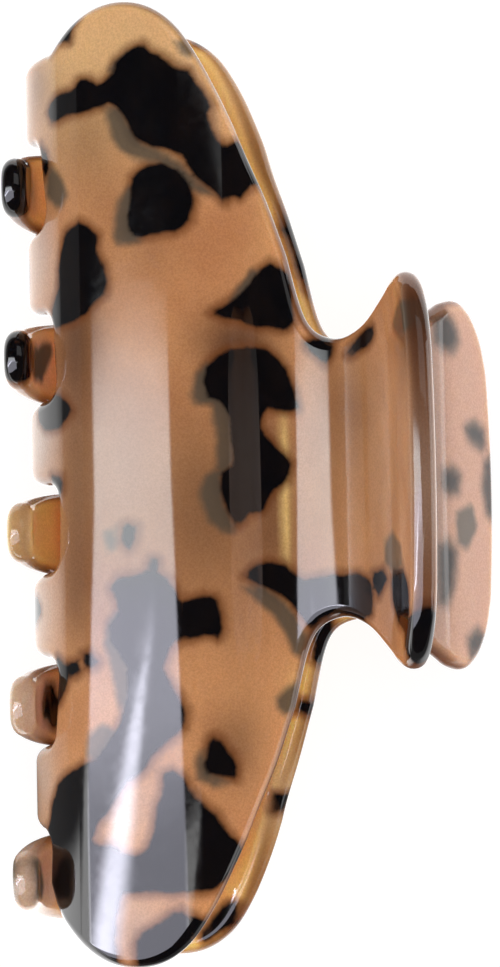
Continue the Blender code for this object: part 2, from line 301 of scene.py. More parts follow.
def even(outline, step, soften):
    """Closed line at even steps, its corners eased."""
    closed = np.vstack([outline, outline[:1]])
    run = np.concatenate([[0.0], np.cumsum(np.linalg.norm(np.diff(closed, axis=0), axis=1))])
    count = int(round(run[-1] / step))
    at = np.arange(count) * run[-1] / count
    pts = np.stack([np.interp(at, run, closed[:, i]) for i in (0, 1)], 1)
    width = int(soften / step * 3)
    k = np.exp(-0.5 * (np.arange(-width, width + 1) * step / soften) ** 2)
    k /= k.sum()
    result = np.zeros_like(pts)
    for w, j in zip(k, range(-width, width + 1)):
        result += w * np.roll(pts, j, axis=0)
    return result


def inside(points, polygon):
    """True for the points inside a closed polygon."""
    x, y = points[:, 0], points[:, 1]
    hit = np.zeros(len(points), bool)
    j = len(polygon) - 1
    for i in range(len(polygon)):
        xi, yi = polygon[i]
        xj, yj = polygon[j]
        cross = (yi > y) != (yj > y)
        with np.errstate(divide="ignore", invalid="ignore"):
            at = (xj - xi) * (y - yi) / (yj - yi) + xi
        hit ^= cross & (x < at)
        j = i
    return hit


def edge_distance(points, polygon):
    best = np.full(len(points), 1e9)
    a = np.asarray(polygon, float)
    b = np.roll(a, -1, axis=0)
    for p, q in zip(a, b):
        d = q - p
        t = np.clip(((points - p) @ d) / max(d @ d, 1e-9), 0.0, 1.0)
        best = np.minimum(best, np.linalg.norm(points - (p + t[:, None] * d), axis=1))
    return best


def field(points, polygons):
    """Signed distance in millimetres to the nearest of the patches, negative inside."""
    best = np.full(len(points), 30.0)
    for polygon in polygons:
        polygon = np.asarray(polygon, float)
        low, high = polygon.min(0) - 8.0, polygon.max(0) + 8.0
        near = np.all((points >= low) & (points <= high), axis=1)
        if not near.any():
            continue
        pts = points[near]
        d = edge_distance(pts, polygon)
        d[inside(pts, polygon)] *= -1.0
        best[near] = np.minimum(best[near], d)
    return best


# ---------------------------------------------------------------- patches of the tortoiseshell, outlines in the flat pattern (x, s)
FRONT_DARK = (
    (
        (-53.9, -26.5), (-53.2, -28.6), (-51.8, -30.8), (-50.8, -31.7), (-50.2, -30.5), (-51, -29.3),
        (-50.9, -27.3), (-52.4, -27), (-53.4, -26.2),
    ),
    (
        (-42, -30.5), (-43.4, -31.5), (-44.4, -30.5), (-45.1, -28.8), (-45.2, -26.7), (-46.3, -26),
        (-46.2, -24.6), (-45.5, -23.6), (-45.7, -22.7), (-46.5, -21.7), (-48.1, -21.1), (-49, -19.9),
        (-49.7, -18.3), (-48.8, -17.5), (-48.4, -16.5), (-47.2, -15.3), (-46.5, -14.7), (-46.5, -13.5),
        (-45.5, -13), (-44.1, -12.2), (-42.6, -11.4), (-41.5, -11.7), (-39.8, -11.3), (-38.4, -10.7),
        (-37.7, -10), (-38.5, -8.4), (-37.3, -6.5), (-35.8, -5.4), (-33.9, -5.1), (-33.4, -6.7), (-32.1, -8.2),
        (-32.5, -9.2), (-31.4, -10), (-32.3, -10.8), (-33.4, -12.2), (-34.5, -13.2), (-36.6, -14.2),
        (-37.4, -15.7), (-38.1, -17.7), (-38.8, -19), (-40.3, -19.9), (-42, -20.7), (-43.3, -21.9),
        (-43, -23.4), (-42.5, -25.4), (-42.5, -27.6), (-42.1, -29.2),
    ),
    (
        (-34.5, -19.6), (-35.6, -18.3), (-36, -16.5), (-35.1, -14.7), (-33.4, -13.7), (-31.7, -13.4),
        (-29.4, -13.8), (-28.2, -15), (-28, -16.8), (-27.5, -18.8), (-27.9, -19.9), (-29.3, -20.3),
        (-31.4, -20), (-33.1, -19.9),
    ),
    (
        (-30, -26.3), (-29.3, -25.2), (-28.2, -23.9), (-26.5, -24.2), (-24.7, -23.2), (-22.9, -22.7),
        (-21.5, -23), (-20.7, -24.1), (-19.3, -25.4), (-18.7, -27.3), (-18.2, -30.3), (-19.1, -31.2),
        (-20.8, -30.8), (-22.4, -29.8), (-24.7, -29.7), (-27, -29.3), (-28.7, -28.5), (-29.5, -27.4),
    ),
    (
        (-24.8, -4.1), (-24.1, -3), (-23.3, -1.7), (-20.9, -1.3), (-18, -1.1), (-17, -2.2), (-17.5, -4.2),
        (-17.3, -6.3), (-18, -8.6), (-18.3, -10.6), (-18.7, -11.6), (-19.7, -10.3), (-20.5, -9.1),
        (-22.1, -7.3), (-23.3, -6.2), (-24.2, -5.2),
    ),
    (
        (-11.1, -12.6), (-12.5, -12.3), (-13.9, -11.3), (-14.8, -9.6), (-15.2, -7.1), (-14.7, -4.6),
        (-13.5, -3), (-12, -1.9), (-10, -1.1), (-8, -0.7), (-7.8, -2.4), (-8.1, -4.7), (-7.4, -5.6),
        (-6, -5.9), (-4.8, -5.2), (-3.7, -3.9), (-2.5, -2.2), (-1.7, -1.7), (-0.2, -2.2), (0.9, -3.6),
        (2, -4.7), (3.8, -5.9), (3.9, -7.7), (4.9, -8.8), (5.3, -9.5), (3.8, -10.4), (2.1, -11), (0.4, -11.2),
        (-0.8, -11), (-1.6, -9.8), (-3.1, -9.6), (-4.8, -9.8), (-7.1, -10), (-8.8, -10.8), (-9.1, -12.3),
    ),
    (
        (-9.5, -35), (-10.4, -32.2), (-10.5, -30.1), (-9.2, -28.4), (-8.3, -27.9), (-7.3, -29.1),
        (-6.5, -30.6), (-6.7, -33.3), (-7.8, -35.1),
    ),
    (
        (-1.3, -32), (-0.9, -29.6), (0.4, -29.5), (1.3, -30.4), (0.3, -31.9),
    ),
    (
        (-15.3, 0.5), (-15.9, 1.5), (-15.9, 3.6), (-14.9, 4.8), (-13.5, 4.3), (-12.7, 3.5), (-14.1, 1.9),
        (-14.9, 0.9),
    ),
    (
        (-13.8, 6.8), (-15.2, 8.6), (-16.4, 10.6), (-16.6, 12.2), (-15.6, 12.4), (-14.6, 11.2), (-13.9, 9.1),
        (-13.5, 7.6),
    ),
    (
        (5.4, -21.6), (4.8, -20.9), (5.1, -19.9), (6.4, -20), (7.8, -20.8), (6.9, -21.6),
    ),
    (
        (9.1, -18.5), (9, -17.7), (10.5, -17.7), (11.1, -16.7), (13.4, -15.7), (14.5, -15.5), (16.8, -15.4),
        (17.9, -15.6), (19, -16.6), (21.2, -17.3), (23, -16.7), (24.7, -15.7), (26, -15), (27.9, -15.3),
        (29, -16.3), (29.7, -17.3), (30.8, -18.4), (32.7, -19.5), (33.6, -20.7), (33.8, -22.7), (31.9, -23.4),
        (29.6, -23.8), (27.4, -22.3), (26.3, -21.7), (23.4, -21.3), (21.2, -21.2), (19.4, -22.2),
        (18.3, -23.1), (16, -23.3), (14.9, -22.1), (13.2, -22.3), (12, -23), (10.9, -22), (10.7, -20.2),
        (10.4, -18.8),
    ),
    (
        (27.4, -22.3), (29.6, -23.8), (31.3, -24.9), (32.1, -27), (33, -29.5), (34.2, -31.5), (35.9, -32.7),
        (38.3, -33.5), (40.6, -35.5), (44.5, -37.6), (48, -36), (50.5, -33.2), (53.5, -29.3),
        (55.4, -25.4), (54.6, -23.2), (51.8, -23.3), (49.4, -23), (47.2, -22.5), (46.4, -22.1), (46.3, -18.1), (46.4, -15.1),
        (46.2, -12.6), (45.1, -11.2), (43.1, -9.9), (42, -9.3), (40.9, -10.4), (39.5, -11.4), (37.7, -12.4),
        (36.7, -13.4), (36, -14.2), (34.9, -14.9), (33.5, -15.6), (32.8, -16.6), (33.1, -17.4), (34.8, -17.6),
        (37, -18.2), (39.5, -18.6), (41.8, -19.5), (42.4, -20.5), (42.1, -22), (41.1, -23.2), (41.3, -25.4),
        (40.4, -26.2), (38.7, -25.3), (37.6, -24), (35.9, -22.7), (34, -21.5), (32.7, -19.5), (30.8, -18.4),
        (29.1, -20),
    ),
    (
        (14, -15.3), (13.4, -14), (13.2, -13), (13.4, -11.9), (14.6, -11.6), (15.7, -11.3), (17.1, -11.3),
        (18.1, -11.7), (17.5, -12.8), (17.9, -14.1), (18.1, -15.1), (17.4, -15.6),
    ),
    (
        (19.5, -27.2), (19.3, -26), (19.9, -25.3), (20.4, -24.5), (21.1, -25.4), (20.8, -26.6),
    ),
    (
        (20.4, -29.5), (20.1, -27.8), (21.2, -27.2), (21.9, -28.3), (21.4, -29.5),
    ),
    (
        (11, -8.6), (10, -7.1), (9.5, -4.9), (9.9, -2.9), (10.9, -1.6), (11.5, -0.2), (11.1, 3.6), (11.1, 6),
        (11.2, 8.6), (11.9, 10.5), (13.9, 11), (15.6, 10.5), (16.3, 8.4), (15.8, 5.8), (15.5, 3.5),
        (16.1, 1.5), (17.2, 0.3), (16.1, -0.6), (14.7, -1.7), (13.5, -3), (12.6, -4.7), (11.9, -6.7),
    ),
    (
        (29.8, -12.8), (29.1, -12.2), (29.9, -11.3), (31.3, -10.5), (32.7, -9.9), (33.8, -10.1), (33.4, -11.6),
        (33.3, -13.1), (32.1, -13.5), (31, -13.1),
    ),
    (
        (52.2, -20.7), (50.8, -19.9), (50, -18.4), (48.9, -16.9), (48.3, -16.1), (49.2, -15.3), (50.6, -15),
        (53.6, -14.6), (55.2, -17.3), (55.6, -19.4), (54.8, -20.7),
    ),
    (
        (48.9, -15.1), (49.7, -13.7), (52, -11.6), (53.6, -13.4), (50.6, -15.2),
    ),
    (
        (19.6, -31.4), (20.4, -29.9), (21.6, -29.2), (23.3, -29.8), (24.4, -30.7), (25.5, -32), (23.2, -32.4),
        (20.9, -32.1),
    ),
    (
        (-39.8, -33), (-38.4, -31.7), (-37, -31.3), (-35.9, -32), (-37.5, -32.9),
    ),
    (
        (10.9, 16.1), (10.8, 20.4), (13.1, 22.6), (15.9, 22.8), (18, 21.1), (16.9, 18), (14.6, 16.2),
        (12.7, 15.7),
    ),
    (
        (11.1, 10.9), (10.8, 13.3), (12, 14.3), (13.7, 12.2), (12.5, 10.9),
    ),
)
FRONT_DEEP = (
    (
        (-42.9, -22.7), (-42.7, -21.2), (-41.8, -20.4), (-38.4, -18.8), (-37.1, -15.7), (-34.3, -13.2),
        (-32.3, -11.1), (-32.3, -12.2), (-33.4, -14.7), (-36, -16.7), (-36.5, -19.4), (-37.8, -21.1),
        (-39.6, -22), (-41.4, -22.4),
    ),
    (
        (-48.1, -21.1), (-49, -19.9), (-47.5, -20.6), (-46.3, -21.8), (-47.1, -22.1),
    ),
    (
        (-49.7, -14.9), (-50, -13.9), (-48.8, -12.9), (-48.1, -13.4), (-48.6, -14.4),
    ),
    (
        (-32, -21.4), (-33.7, -20), (-32.4, -18.9), (-27.8, -19), (-27.1, -18.4), (-26.9, -20.1),
        (-26.9, -21.5), (-28, -21.9), (-30.1, -21.8),
    ),
    (
        (-22, -8.7), (-23.9, -6.9), (-23.9, -5.2), (-21.5, -7), (-20.3, -8.5), (-19.7, -9.9),
    ),
    (
        (-9.4, -14.1), (-11.6, -13.6), (-13, -12.3), (-11.6, -11), (-9.1, -10.5), (-8.2, -9.7), (-1.9, -9.4),
        (-0.2, -11), (2.6, -10.8), (6.1, -9.6), (6.2, -10.8), (4.9, -12.5), (3, -13.1), (1.5, -13.3),
        (-0.2, -12.8), (-1.4, -11.7), (-4.8, -11.5), (-8.2, -11.9), (-8.4, -13.6),
    ),
    (
        (5.7, -23.7), (5.2, -22.1), (7.5, -22.2), (8.1, -23.4),
    ),
    (
        (12.3, -9.2), (12.1, -6.1), (14.1, -3), (16.4, -1), (18.1, -0), (20.6, -0.9), (19.8, -2.2),
        (17.5, -3.1), (15.2, -4.8), (13.7, -7.2),
    ),
    (
        (24.9, -4.6), (23.8, -3.2), (23, -1.6), (24.4, -1.2), (26.3, -1.8), (26.8, -3.3), (26, -4.4),
    ),
    (
        (7.8, 13.7), (6.7, 16.4), (8.4, 19.7), (10.6, 20.5), (11.6, 16.8), (10, 13.8),
    ),
    (
        (-16, 17.9), (-18, 20.4), (-18.5, 23.8), (-16.4, 25.5), (-14.4, 22.9), (-15, 19.2),
    ),
    (
        (15.4, -23.3), (14.5, -21.8), (17.8, -20.9), (23.4, -20.5), (26.8, -21.4), (25.1, -22.5),
        (21.1, -23.2), (18.2, -23.9),
    ),
    (
        (28.5, -26.2), (27.3, -24.2), (28.2, -22.6), (30.8, -23.4), (31.9, -25.2), (30.7, -26.6),
    ),
    (
        (-37.2, -31.3), (-35.7, -29), (-33.3, -27.8), (-31.7, -29.5), (-33.8, -31.8),
    ),
    (
        (30.9, -14.3), (30.4, -13.3), (33.2, -12.6), (34.4, -10.8), (34.9, -12.4), (33.7, -14.1),
    ),
)
BACK_DARK = (
    (
        (19.5, 13.7), (20.4, 15.8), (18.8, 17.6), (17, 18.1), (15.4, 16.9), (15.7, 14.8), (16.8, 13.6),
    ),
    (
        (6.9, 18.7), (7.8, 20.8), (6.8, 23.3), (4.9, 23.7), (4, 22.5), (5.1, 19.7),
    ),
    (
        (1.7, 14.4), (2.2, 16), (1.1, 17.8), (-1.2, 17.4), (-1.4, 15.1), (-0.2, 14.3),
    ),
    (
        (2.8, 22.9), (4.1, 24.8), (2.3, 25.7), (-3.1, 25.7), (-4.7, 24.8), (-3.2, 23.1), (-0.2, 22.3),
    ),
    (
        (-7.4, 13.3), (-6.4, 15.4), (-8.1, 16.7), (-12.3, 16.2), (-14.7, 14.8), (-14.1, 13.3),
    ),
    (
        (-18.3, 18.1), (-17.1, 20.3), (-17.7, 23.1), (-20.1, 21.3), (-20.8, 19),
    ),
    (
        (33.5, -4.1), (32.7, -2.7), (29.7, -1.1), (25.4, 0.2), (22.1, 0.5), (22.2, -0.7), (24.4, -2),
        (27.4, -2.8), (29.9, -3.7),
    ),
    (
        (55.7, -18), (54.5, -16.6), (53.5, -15.9), (53.6, -17.3),
    ),
    (
        (-15.9, -0.6), (-15.5, 0.9), (-18.1, 0.6), (-21.3, -0.3), (-20.6, -1.4), (-18, -1),
    ),
    (
        (-25.2, -2.8), (-25.6, -1.7), (-26.9, -2.2), (-26.4, -3.3),
    ),
    (
        (-36.1, -6.6), (-36.4, -5.2), (-38.4, -5.8), (-38.1, -7.3),
    ),
    (
        (-49.5, -15.9), (-49, -13.8), (-51.2, -14.5), (-53.5, -18.4), (-52.7, -19), (-51.2, -17.4),
    ),
)
BACK_DEEP = (
    (
        (-3.4, 16.7), (-2.4, 19.9), (-5.1, 21.1), (-7.8, 18.7), (-7, 16.8),
    ),
)


def patch(cx, cs, rx, rs, turn, seed):
    """Irregular closed patch in the flat pattern."""
    rng = np.random.default_rng(seed)
    count = 30
    a = np.linspace(0.0, 2.0 * math.pi, count, endpoint=False)
    r = np.ones(count)
    for k in (2, 3, 4, 5, 7, 9):
        r += rng.normal(0.0, 0.30 / k) * np.cos(k * a + rng.uniform(0.0, 6.283))
    r = np.clip(r, 0.45, 1.7)
    x, s = rx * r * np.cos(a), rs * r * np.sin(a)
    c, t = math.cos(rad(turn)), math.sin(rad(turn))
    return np.stack([cx + c * x - t * s, cs + t * x + c * s], 1)


def scatter(seed, count, low, high, sizes, avoid, gap):
    """Seeded patches that keep clear of each other and of the given ones."""
    rng = np.random.default_rng(seed)
    result = []
    tries = 0
    while len(result) < count and tries < 4000:
        tries += 1
        centre = np.array((rng.uniform(low[0], high[0]), rng.uniform(low[1], high[1])))
        size = rng.uniform(*sizes)
        if field(centre[None], avoid + result)[0] < size + gap:
            continue
        result.append(
            patch(*centre, size * rng.uniform(0.9, 1.6), size, rng.uniform(-60, 60), seed * 1000 + tries)
        )
    return result


# ---------------------------------------------------------------- jaws
RING_TURNS = np.radians((0.0, 14.0, 28.0, 42.0, 57.0, 73.0, 90.0))
GRID = 0.7


def sheet_mesh(name, outline, half, round_, side, shift=0.0, grid=GRID, step=0.5, soften=0.3):
    """Closed bent sheet with rounded edges: mesh, flat places (x, s, n) and edge share of its points."""
    line = even(outline, step, soften)
    tangent = np.roll(line, -1, 0) - np.roll(line, 1, 0)
    tangent /= np.linalg.norm(tangent, axis=1)[:, None]
    inward = np.stack([tangent[:, 1], -tangent[:, 0]], 1)
    n, k = len(line), len(RING_TURNS)
    ahead, behind = np.roll(tangent, -1, 0), np.roll(tangent, 1, 0)
    bend_in = (behind[:, 1] * ahead[:, 0] - behind[:, 0] * ahead[:, 1]) / (2.0 * step)
    radius = np.minimum(round_, 0.72 / np.maximum(bend_in, 1e-6))
    reach = max(1, int(1.2 / step))
    for _ in range(3):
        radius = np.min([np.roll(radius, j) for j in range(-reach, reach + 1)], axis=0)
        radius = np.mean([np.roll(radius, j) for j in range(-reach, reach + 1)], axis=0)
    radius = radius[:, None]
    flats, normals, edges = [], [], []
    for sign in (1.0, -1.0):
        for turn in RING_TURNS:
            pts = line + radius * (1.0 - math.cos(turn)) * inward
            flats.append(np.column_stack([pts, sign * (half - radius + radius * math.sin(turn))]))
            normals.append(np.column_stack([-inward * math.cos(turn), np.full(n, sign * math.sin(turn))]))
            edges.append(np.full(n, math.cos(turn)))
    inner = line + radius * inward
    low, high = inner.min(0), inner.max(0)
    gx = np.arange(low[0] + grid / 2, high[0], grid)
    gs = np.arange(low[1] + grid / 2, high[1], grid)
    cloud = np.stack(np.meshgrid(gx, gs), -1)
    cloud[1::2, :, 0] += grid / 2
    cloud = cloud.reshape(-1, 2) + np.random.default_rng(7).uniform(-0.08, 0.08, (cloud.size // 2, 2)) * grid
    cloud = cloud[inside(cloud, inner)]
    cloud = cloud[edge_distance(cloud, inner) > 0.45 * grid]
    verts2 = np.vstack([inner, cloud])
    ring_edges = [(i, (i + 1) % n) for i in range(n)]
    out_verts, _, out_faces, orig, _, _ = delaunay_2d_cdt(
        [Vector(p) for p in verts2], ring_edges, [], 1, 1e-5
    )
    names = [o[0] if o else -1 for o in orig]
    m = len(cloud)
    for sign in (1.0, -1.0):
        flats.append(np.column_stack([cloud, np.full(m, sign * half)]))
        normals.append(np.column_stack([np.zeros((m, 2)), np.full(m, sign)]))
        edges.append(np.zeros(m))
    flat, normal, edge = np.vstack(flats), np.vstack(normals), np.concatenate(edges)

    faces = []
    nxt = [(i + 1) % n for i in range(n)]
    for j in range(k - 1):
        a, b = j * n, (j + 1) * n
        faces += [(a + i, b + i, b + nxt[i], a + nxt[i]) for i in range(n)]
        a, b = (k + j) * n, (k + j + 1) * n
        faces += [(a + i, a + nxt[i], b + nxt[i], b + i) for i in range(n)]
    faces += [(i, nxt[i], k * n + nxt[i], k * n + i) for i in range(n)]
    top_ring, low_ring, top_in, low_in = (k - 1) * n, (2 * k - 1) * n, 2 * k * n, 2 * k * n + m
    for face in out_faces:
        ids = [names[v] for v in face]
        p = verts2[ids]
        turn = np.cross(p[1] - p[0], p[2] - p[0])
        if turn < 0:
            ids = ids[::-1]
        faces.append(tuple(top_ring + v if v < n else top_in + v - n for v in ids))
        faces.append(tuple(low_ring + v if v < n else low_in + v - n for v in ids[::-1]))

    moved = flat.copy()
    moved[:, 2] += shift
    places = to_row(bend_all(moved, side))
    turned = bend_normals(moved, normal, side) @ TURN.T
    mesh = bpy.data.meshes.new(name)
    mesh.from_pydata([tuple(p) for p in places], [], faces)
    mesh.polygons.foreach_set("use_smooth", [True] * len(mesh.polygons))
    mesh.update()
    mesh.normals_split_custom_set_from_vertices([tuple(v) for v in turned])
    return mesh, flat, edge


def attach(mesh, name, values):
    attribute = mesh.attributes.new(name, "FLOAT", "POINT")
    attribute.data.foreach_set("value", np.asarray(values, np.float32))


def attach_vectors(mesh, name, values):
    attribute = mesh.attributes.new(name, "FLOAT_VECTOR", "POINT")
    attribute.data.foreach_set("vector", np.asarray(values, np.float32).ravel())


def add(name, mesh, look):
    piece = bpy.data.objects.new(name, mesh)
    bpy.context.scene.collection.objects.link(piece)
    mesh.materials.clear()
    mesh.materials.append(look)
    return piece


# ---------------------------------------------------------------- node helpers
class Nodes:
    def __init__(self, name):
        self.material = bpy.data.materials.new(name)
        self.material.use_nodes = True
        self.tree = self.material.node_tree
        self.shader = self.tree.nodes["Principled BSDF"]

    def link(self, source, target):
        self.tree.links.new(source, target)

    def node(self, kind, **values):
        node = self.tree.nodes.new(kind)
        for key, value in values.items():
            setattr(node, key, value)
        return node

    def attribute(self, name, output="Fac"):
        return self.node("ShaderNodeAttribute", attribute_name=name).outputs[output]

    def noise(self, vector, scale, detail=2.0, rough=0.5, lacunarity=2.0, distortion=0.0, output="Fac"):
        node = self.node("ShaderNodeTexNoise")
        node.inputs["Scale"].default_value = scale
        node.inputs["Detail"].default_value = detail
        node.inputs["Roughness"].default_value = rough
        node.inputs["Lacunarity"].default_value = lacunarity
        node.inputs["Distortion"].default_value = distortion
        self.link(vector, node.inputs["Vector"])
        return node.outputs[output]

    def math(self, operation, a, b=None, c=None):
        node = self.node("ShaderNodeMath", operation=operation)
        for i, value in enumerate((a, b, c)):
            if value is None:
                continue
            if isinstance(value, (int, float)):
                node.inputs[i].default_value = value
            else:
                self.link(value, node.inputs[i])
        return node.outputs[0]

    def spread(self, value, a, b, low=0.0, high=1.0, kind="SMOOTHSTEP"):
        node = self.node("ShaderNodeMapRange", interpolation_type=kind)
        node.inputs["From Min"].default_value = a
        node.inputs["From Max"].default_value = b
        node.inputs["To Min"].default_value = low
        node.inputs["To Max"].default_value = high
        self.link(value, node.inputs["Value"])
        return node.outputs["Result"]

    def mix(self, share, a, b, blend="MIX"):
        node = self.node("ShaderNodeMix", data_type="RGBA", blend_type=blend)
        node.clamp_factor = True
        for value, socket in ((share, node.inputs[0]), (a, node.inputs[6]), (b, node.inputs[7])):
            if isinstance(value, (int, float)):
                socket.default_value = value
            elif isinstance(value, tuple):
                socket.default_value = (*value, 1.0)
            else:
                self.link(value, socket)
        return node.outputs[2]

    def stretch(self, vector, x, y, z):
        node = self.node("ShaderNodeVectorMath", operation="MULTIPLY")
        self.link(vector, node.inputs[0])
        node.inputs[1].default_value = (x, y, z)
        return node.outputs[0]

    def bump(self, height, strength, distance):
        node = self.node("ShaderNodeBump")
        node.inputs["Strength"].default_value = strength
        node.inputs["Distance"].default_value = distance
        self.link(height, node.inputs["Height"])
        self.link(node.outputs["Normal"], self.shader.inputs["Normal"])


def tortoiseshell(name, light, honey, brown, seed, haze, depth, painted_shade_colour, cloudy):
    """Polished acetate: honey ground, near black patches, grey-brown patches deeper down, fine grain, with painted
    light and shade: paler painted light, browner painted shade, a painted amber reflection and glow, a painted veil,
    and cut edges darkened as painted shade.
    """
    n = Nodes(name)
    flat = n.attribute("flat", "Vector")
    shifted = n.node("ShaderNodeVectorMath", operation="ADD")
    n.link(flat, shifted.inputs[0])
    shifted.inputs[1].default_value = (seed, seed * 1.7, 0.0)
    place_ = shifted.outputs[0]
    ragged = n.math(
        "ADD",
        n.math("MULTIPLY", n.math("SUBTRACT", n.noise(place_, 0.42, 2.0, 0.5), 0.5), 0.75),
        n.math("MULTIPLY", n.math("SUBTRACT", n.noise(place_, 1.6, 2.0, 0.5), 0.5), 0.16),
    )
    dark = n.math("ADD", n.attribute("dark"), ragged)
    deep = n.math("ADD", n.attribute("deep"), ragged)
    cloud = n.noise(n.stretch(place_, 0.055, 0.085, 0.06), 1.0, 3.0, 0.5)
    veins = n.noise(n.stretch(place_, 0.16, 0.34, 0.2), 1.0, 4.0, 0.6, distortion=0.6)
    grain = n.noise(place_, 4.2, 3.0, 0.75)

    ground = n.mix(n.spread(cloud, 0.30, 0.60), brown, honey)
    ground = n.mix(n.math("MULTIPLY", n.spread(veins, 0.46, 0.74), 0.22), ground, brown)
    # painted light: the first colour (light) mixed in where the jaw catches the bright surroundings or lets light shine
    # through
    ground = n.mix(n.attribute("painted_light"), ground, light)
    # painted shade, partly the sheet's own browner tone
    ground = n.mix(n.attribute("shade"), ground, painted_shade_colour)
    # painted amber light: a painted reflection by the neck and a painted glow of light through the back jaw
    ground = n.mix(n.attribute("painted_amber_light"), ground, (0.97, 0.68, 0.27))
    # painted veil: a greyer, paler tone, partly the stock and partly painted reflected and through-shining light
    ground = n.mix(n.attribute("painted_veil"), ground, (0.70, 0.59, 0.52))
    ground = n.mix(n.spread(grain, 0.30, 0.70, 0.0, 0.50), ground, n.mix(1.0, ground, (0.62, 0.54, 0.48), "MULTIPLY"))
    soft = n.math("MULTIPLY", n.attribute("painted_light"), cloudy)
    crisp = n.math("SUBTRACT", 1.0, soft)
    halo = n.math("MULTIPLY", n.math("MULTIPLY", n.spread(dark, 1.35, 0.0), 0.80), crisp)
    ground = n.mix(halo, ground, (0.170, 0.052, 0.013))
    ground = n.mix(n.math("MULTIPLY", n.spread(deep, 0.65, -0.60), 0.88), ground, (0.098, 0.080, 0.058))
    ink = n.mix(n.spread(veins, 0.35, 0.7), (0.0028, 0.0024, 0.0034), (0.0065, 0.0040, 0.0040))
    edge = n.attribute("edge")
    # cut edges darkened as painted shade, standing in for the deeper amber and the refraction seen through the edge
    painted_edge_shade = n.mix(0.30, (0.075, 0.027, 0.013), n.mix(1.0, ground, (0.50, 0.34, 0.26), "MULTIPLY"))
    # no painted edge shade where the painted veil is
    clear = n.math("SUBTRACT", 1.0, n.attribute("painted_veil"))
    ground = n.mix(n.math("MULTIPLY", n.spread(edge, 0.30, 0.97, 0.0, 0.90), clear), ground, painted_edge_shade)
    cover = n.math("MULTIPLY", n.spread(dark, 0.30, -0.26), crisp)
    cover = n.math("ADD", cover, n.math("MULTIPLY", n.spread(dark, 1.1, -1.2, 0.0, 0.93), soft))
    ground = n.mix(cover, ground, ink)
    n.link(ground, n.shader.inputs["Base Color"])

    polish = n.noise(place_, 0.9, 3.0, 0.6)
    scuff = n.noise(n.stretch(place_, 1.4, 5.5, 2.0), 1.0, 2.0, 0.7)
    n.link(
        n.math("ADD", n.spread(polish, 0.3, 0.75, 0.045, 0.085), n.spread(scuff, 0.62, 0.80, 0.0, 0.03)),
        n.shader.inputs["Roughness"],
    )
    n.shader.inputs["IOR"].default_value = 1.49
    n.shader.inputs["Subsurface Weight"].default_value = haze
    n.shader.inputs["Subsurface Radius"].default_value = (1.0, 0.66, 0.34)
    n.shader.inputs["Subsurface Scale"].default_value = depth
    n.bump(n.math("ADD", n.noise(place_, 0.22, 2.0), n.math("MULTIPLY", grain, 0.02)), 0.012, 0.0006)
    return n.material


def steel(name, colour, dark, roughness, along, scale):
    """Plated steel with drawn lines, small stains and a little wear."""
    n = Nodes(name)
    where = n.node("ShaderNodeTexCoord").outputs["Object"]
    lines = n.noise(n.stretch(where, *along), scale, 4.0, 0.65)
    stain = n.noise(where, 700.0, 4.0, 0.6)
    tone = n.mix(n.spread(lines, 0.3, 0.7), dark, colour)
    tone = n.mix(n.math("MULTIPLY", n.spread(stain, 0.52, 0.72), 0.45), tone, dark)
    n.link(tone, n.shader.inputs["Base Color"])
    n.shader.inputs["Metallic"].default_value = 1.0
    n.link(
        n.math("ADD", n.spread(lines, 0.25, 0.75, roughness - 0.06, roughness + 0.08), n.spread(stain, 0.5, 0.75, 0.0, 0.12)),
        n.shader.inputs["Roughness"],
    )
    n.bump(lines, 0.25, 0.00003)
    return n.material


# In each, the second colour is painted light and the colour before the last number is painted shade.
ACETATE_FRONT = tortoiseshell("acetate_front", (0.86, 0.58, 0.29), (0.75, 0.37, 0.165), (0.60, 0.27, 0.118), 3.0, 0.6, 0.0028, (0.105, 0.049, 0.027), 0.0)
ACETATE_BACK = tortoiseshell("acetate_back", (0.60, 0.395, 0.30), (0.88, 0.52, 0.19), (0.78, 0.41, 0.14), 61.0, 1.0, 0.0075, (0.17, 0.12, 0.095), 1.0)
LEAF_STEEL = steel("leaf_steel", (0.66, 0.64, 0.60), (0.36, 0.34, 0.31), 0.27, (0.25, 1.0, 1.0), 1600.0)
PIN_STEEL = steel("pin_steel", (0.72, 0.71, 0.69), (0.42, 0.40, 0.38), 0.20, (1.0, 0.2, 0.2), 2600.0)
SPRING_STEEL = steel("spring_steel", (0.56, 0.56, 0.57), (0.24, 0.23, 0.22), 0.24, (1.0, 0.6, 0.6), 2400.0)
STUD_STEEL = steel("stud_steel", (0.70, 0.68, 0.63), (0.40, 0.37, 0.32), 0.25, (1.0, 1.0, 1.0), 2200.0)


def make_jaw(name, side, dark, deep, painted_light, shade, painted_amber_light, painted_veil, look):
    mesh, flat, edge = sheet_mesh(name, jaw_outline(), SHEET / 2, ROUND, side)
    places = flat[:, :2]
    attach_vectors(mesh, "flat", flat)
    attach(mesh, "dark", field(places, dark))
    attach(mesh, "deep", field(places, deep))
    attach(mesh, "edge", edge)
    attach(mesh, "painted_light", painted_light(places))
    attach(mesh, "shade", shade(places))
    attach(mesh, "painted_amber_light", painted_amber_light(places))
    attach(mesh, "painted_veil", painted_veil(places))
    return add(name, mesh, look)


# Painted reflection: the left end of the front jaw paler, where it mirrors the bright surroundings at a grazing angle.
def front_painted_sheen(p):
    x, s = p[:, 0], p[:, 1]
    end = np.clip((-x - 30.0) / 18.0, 0.0, 1.0)
    return 0.75 * end * np.clip((s + 36.0) / 6.0, 0.15, 1.0)


def soft_spots(p, spots):
    """Sum of soft round spots (x, s, reach in x, reach in s, amount)."""
    result = np.zeros(len(p))
    for x, s, rx, rs, amount in spots:
        result += amount * np.exp(-(((p[:, 0] - x) / rx) ** 2) - ((p[:, 1] - s) / rs) ** 2)
    return np.clip(result, 0.0, 0.9)


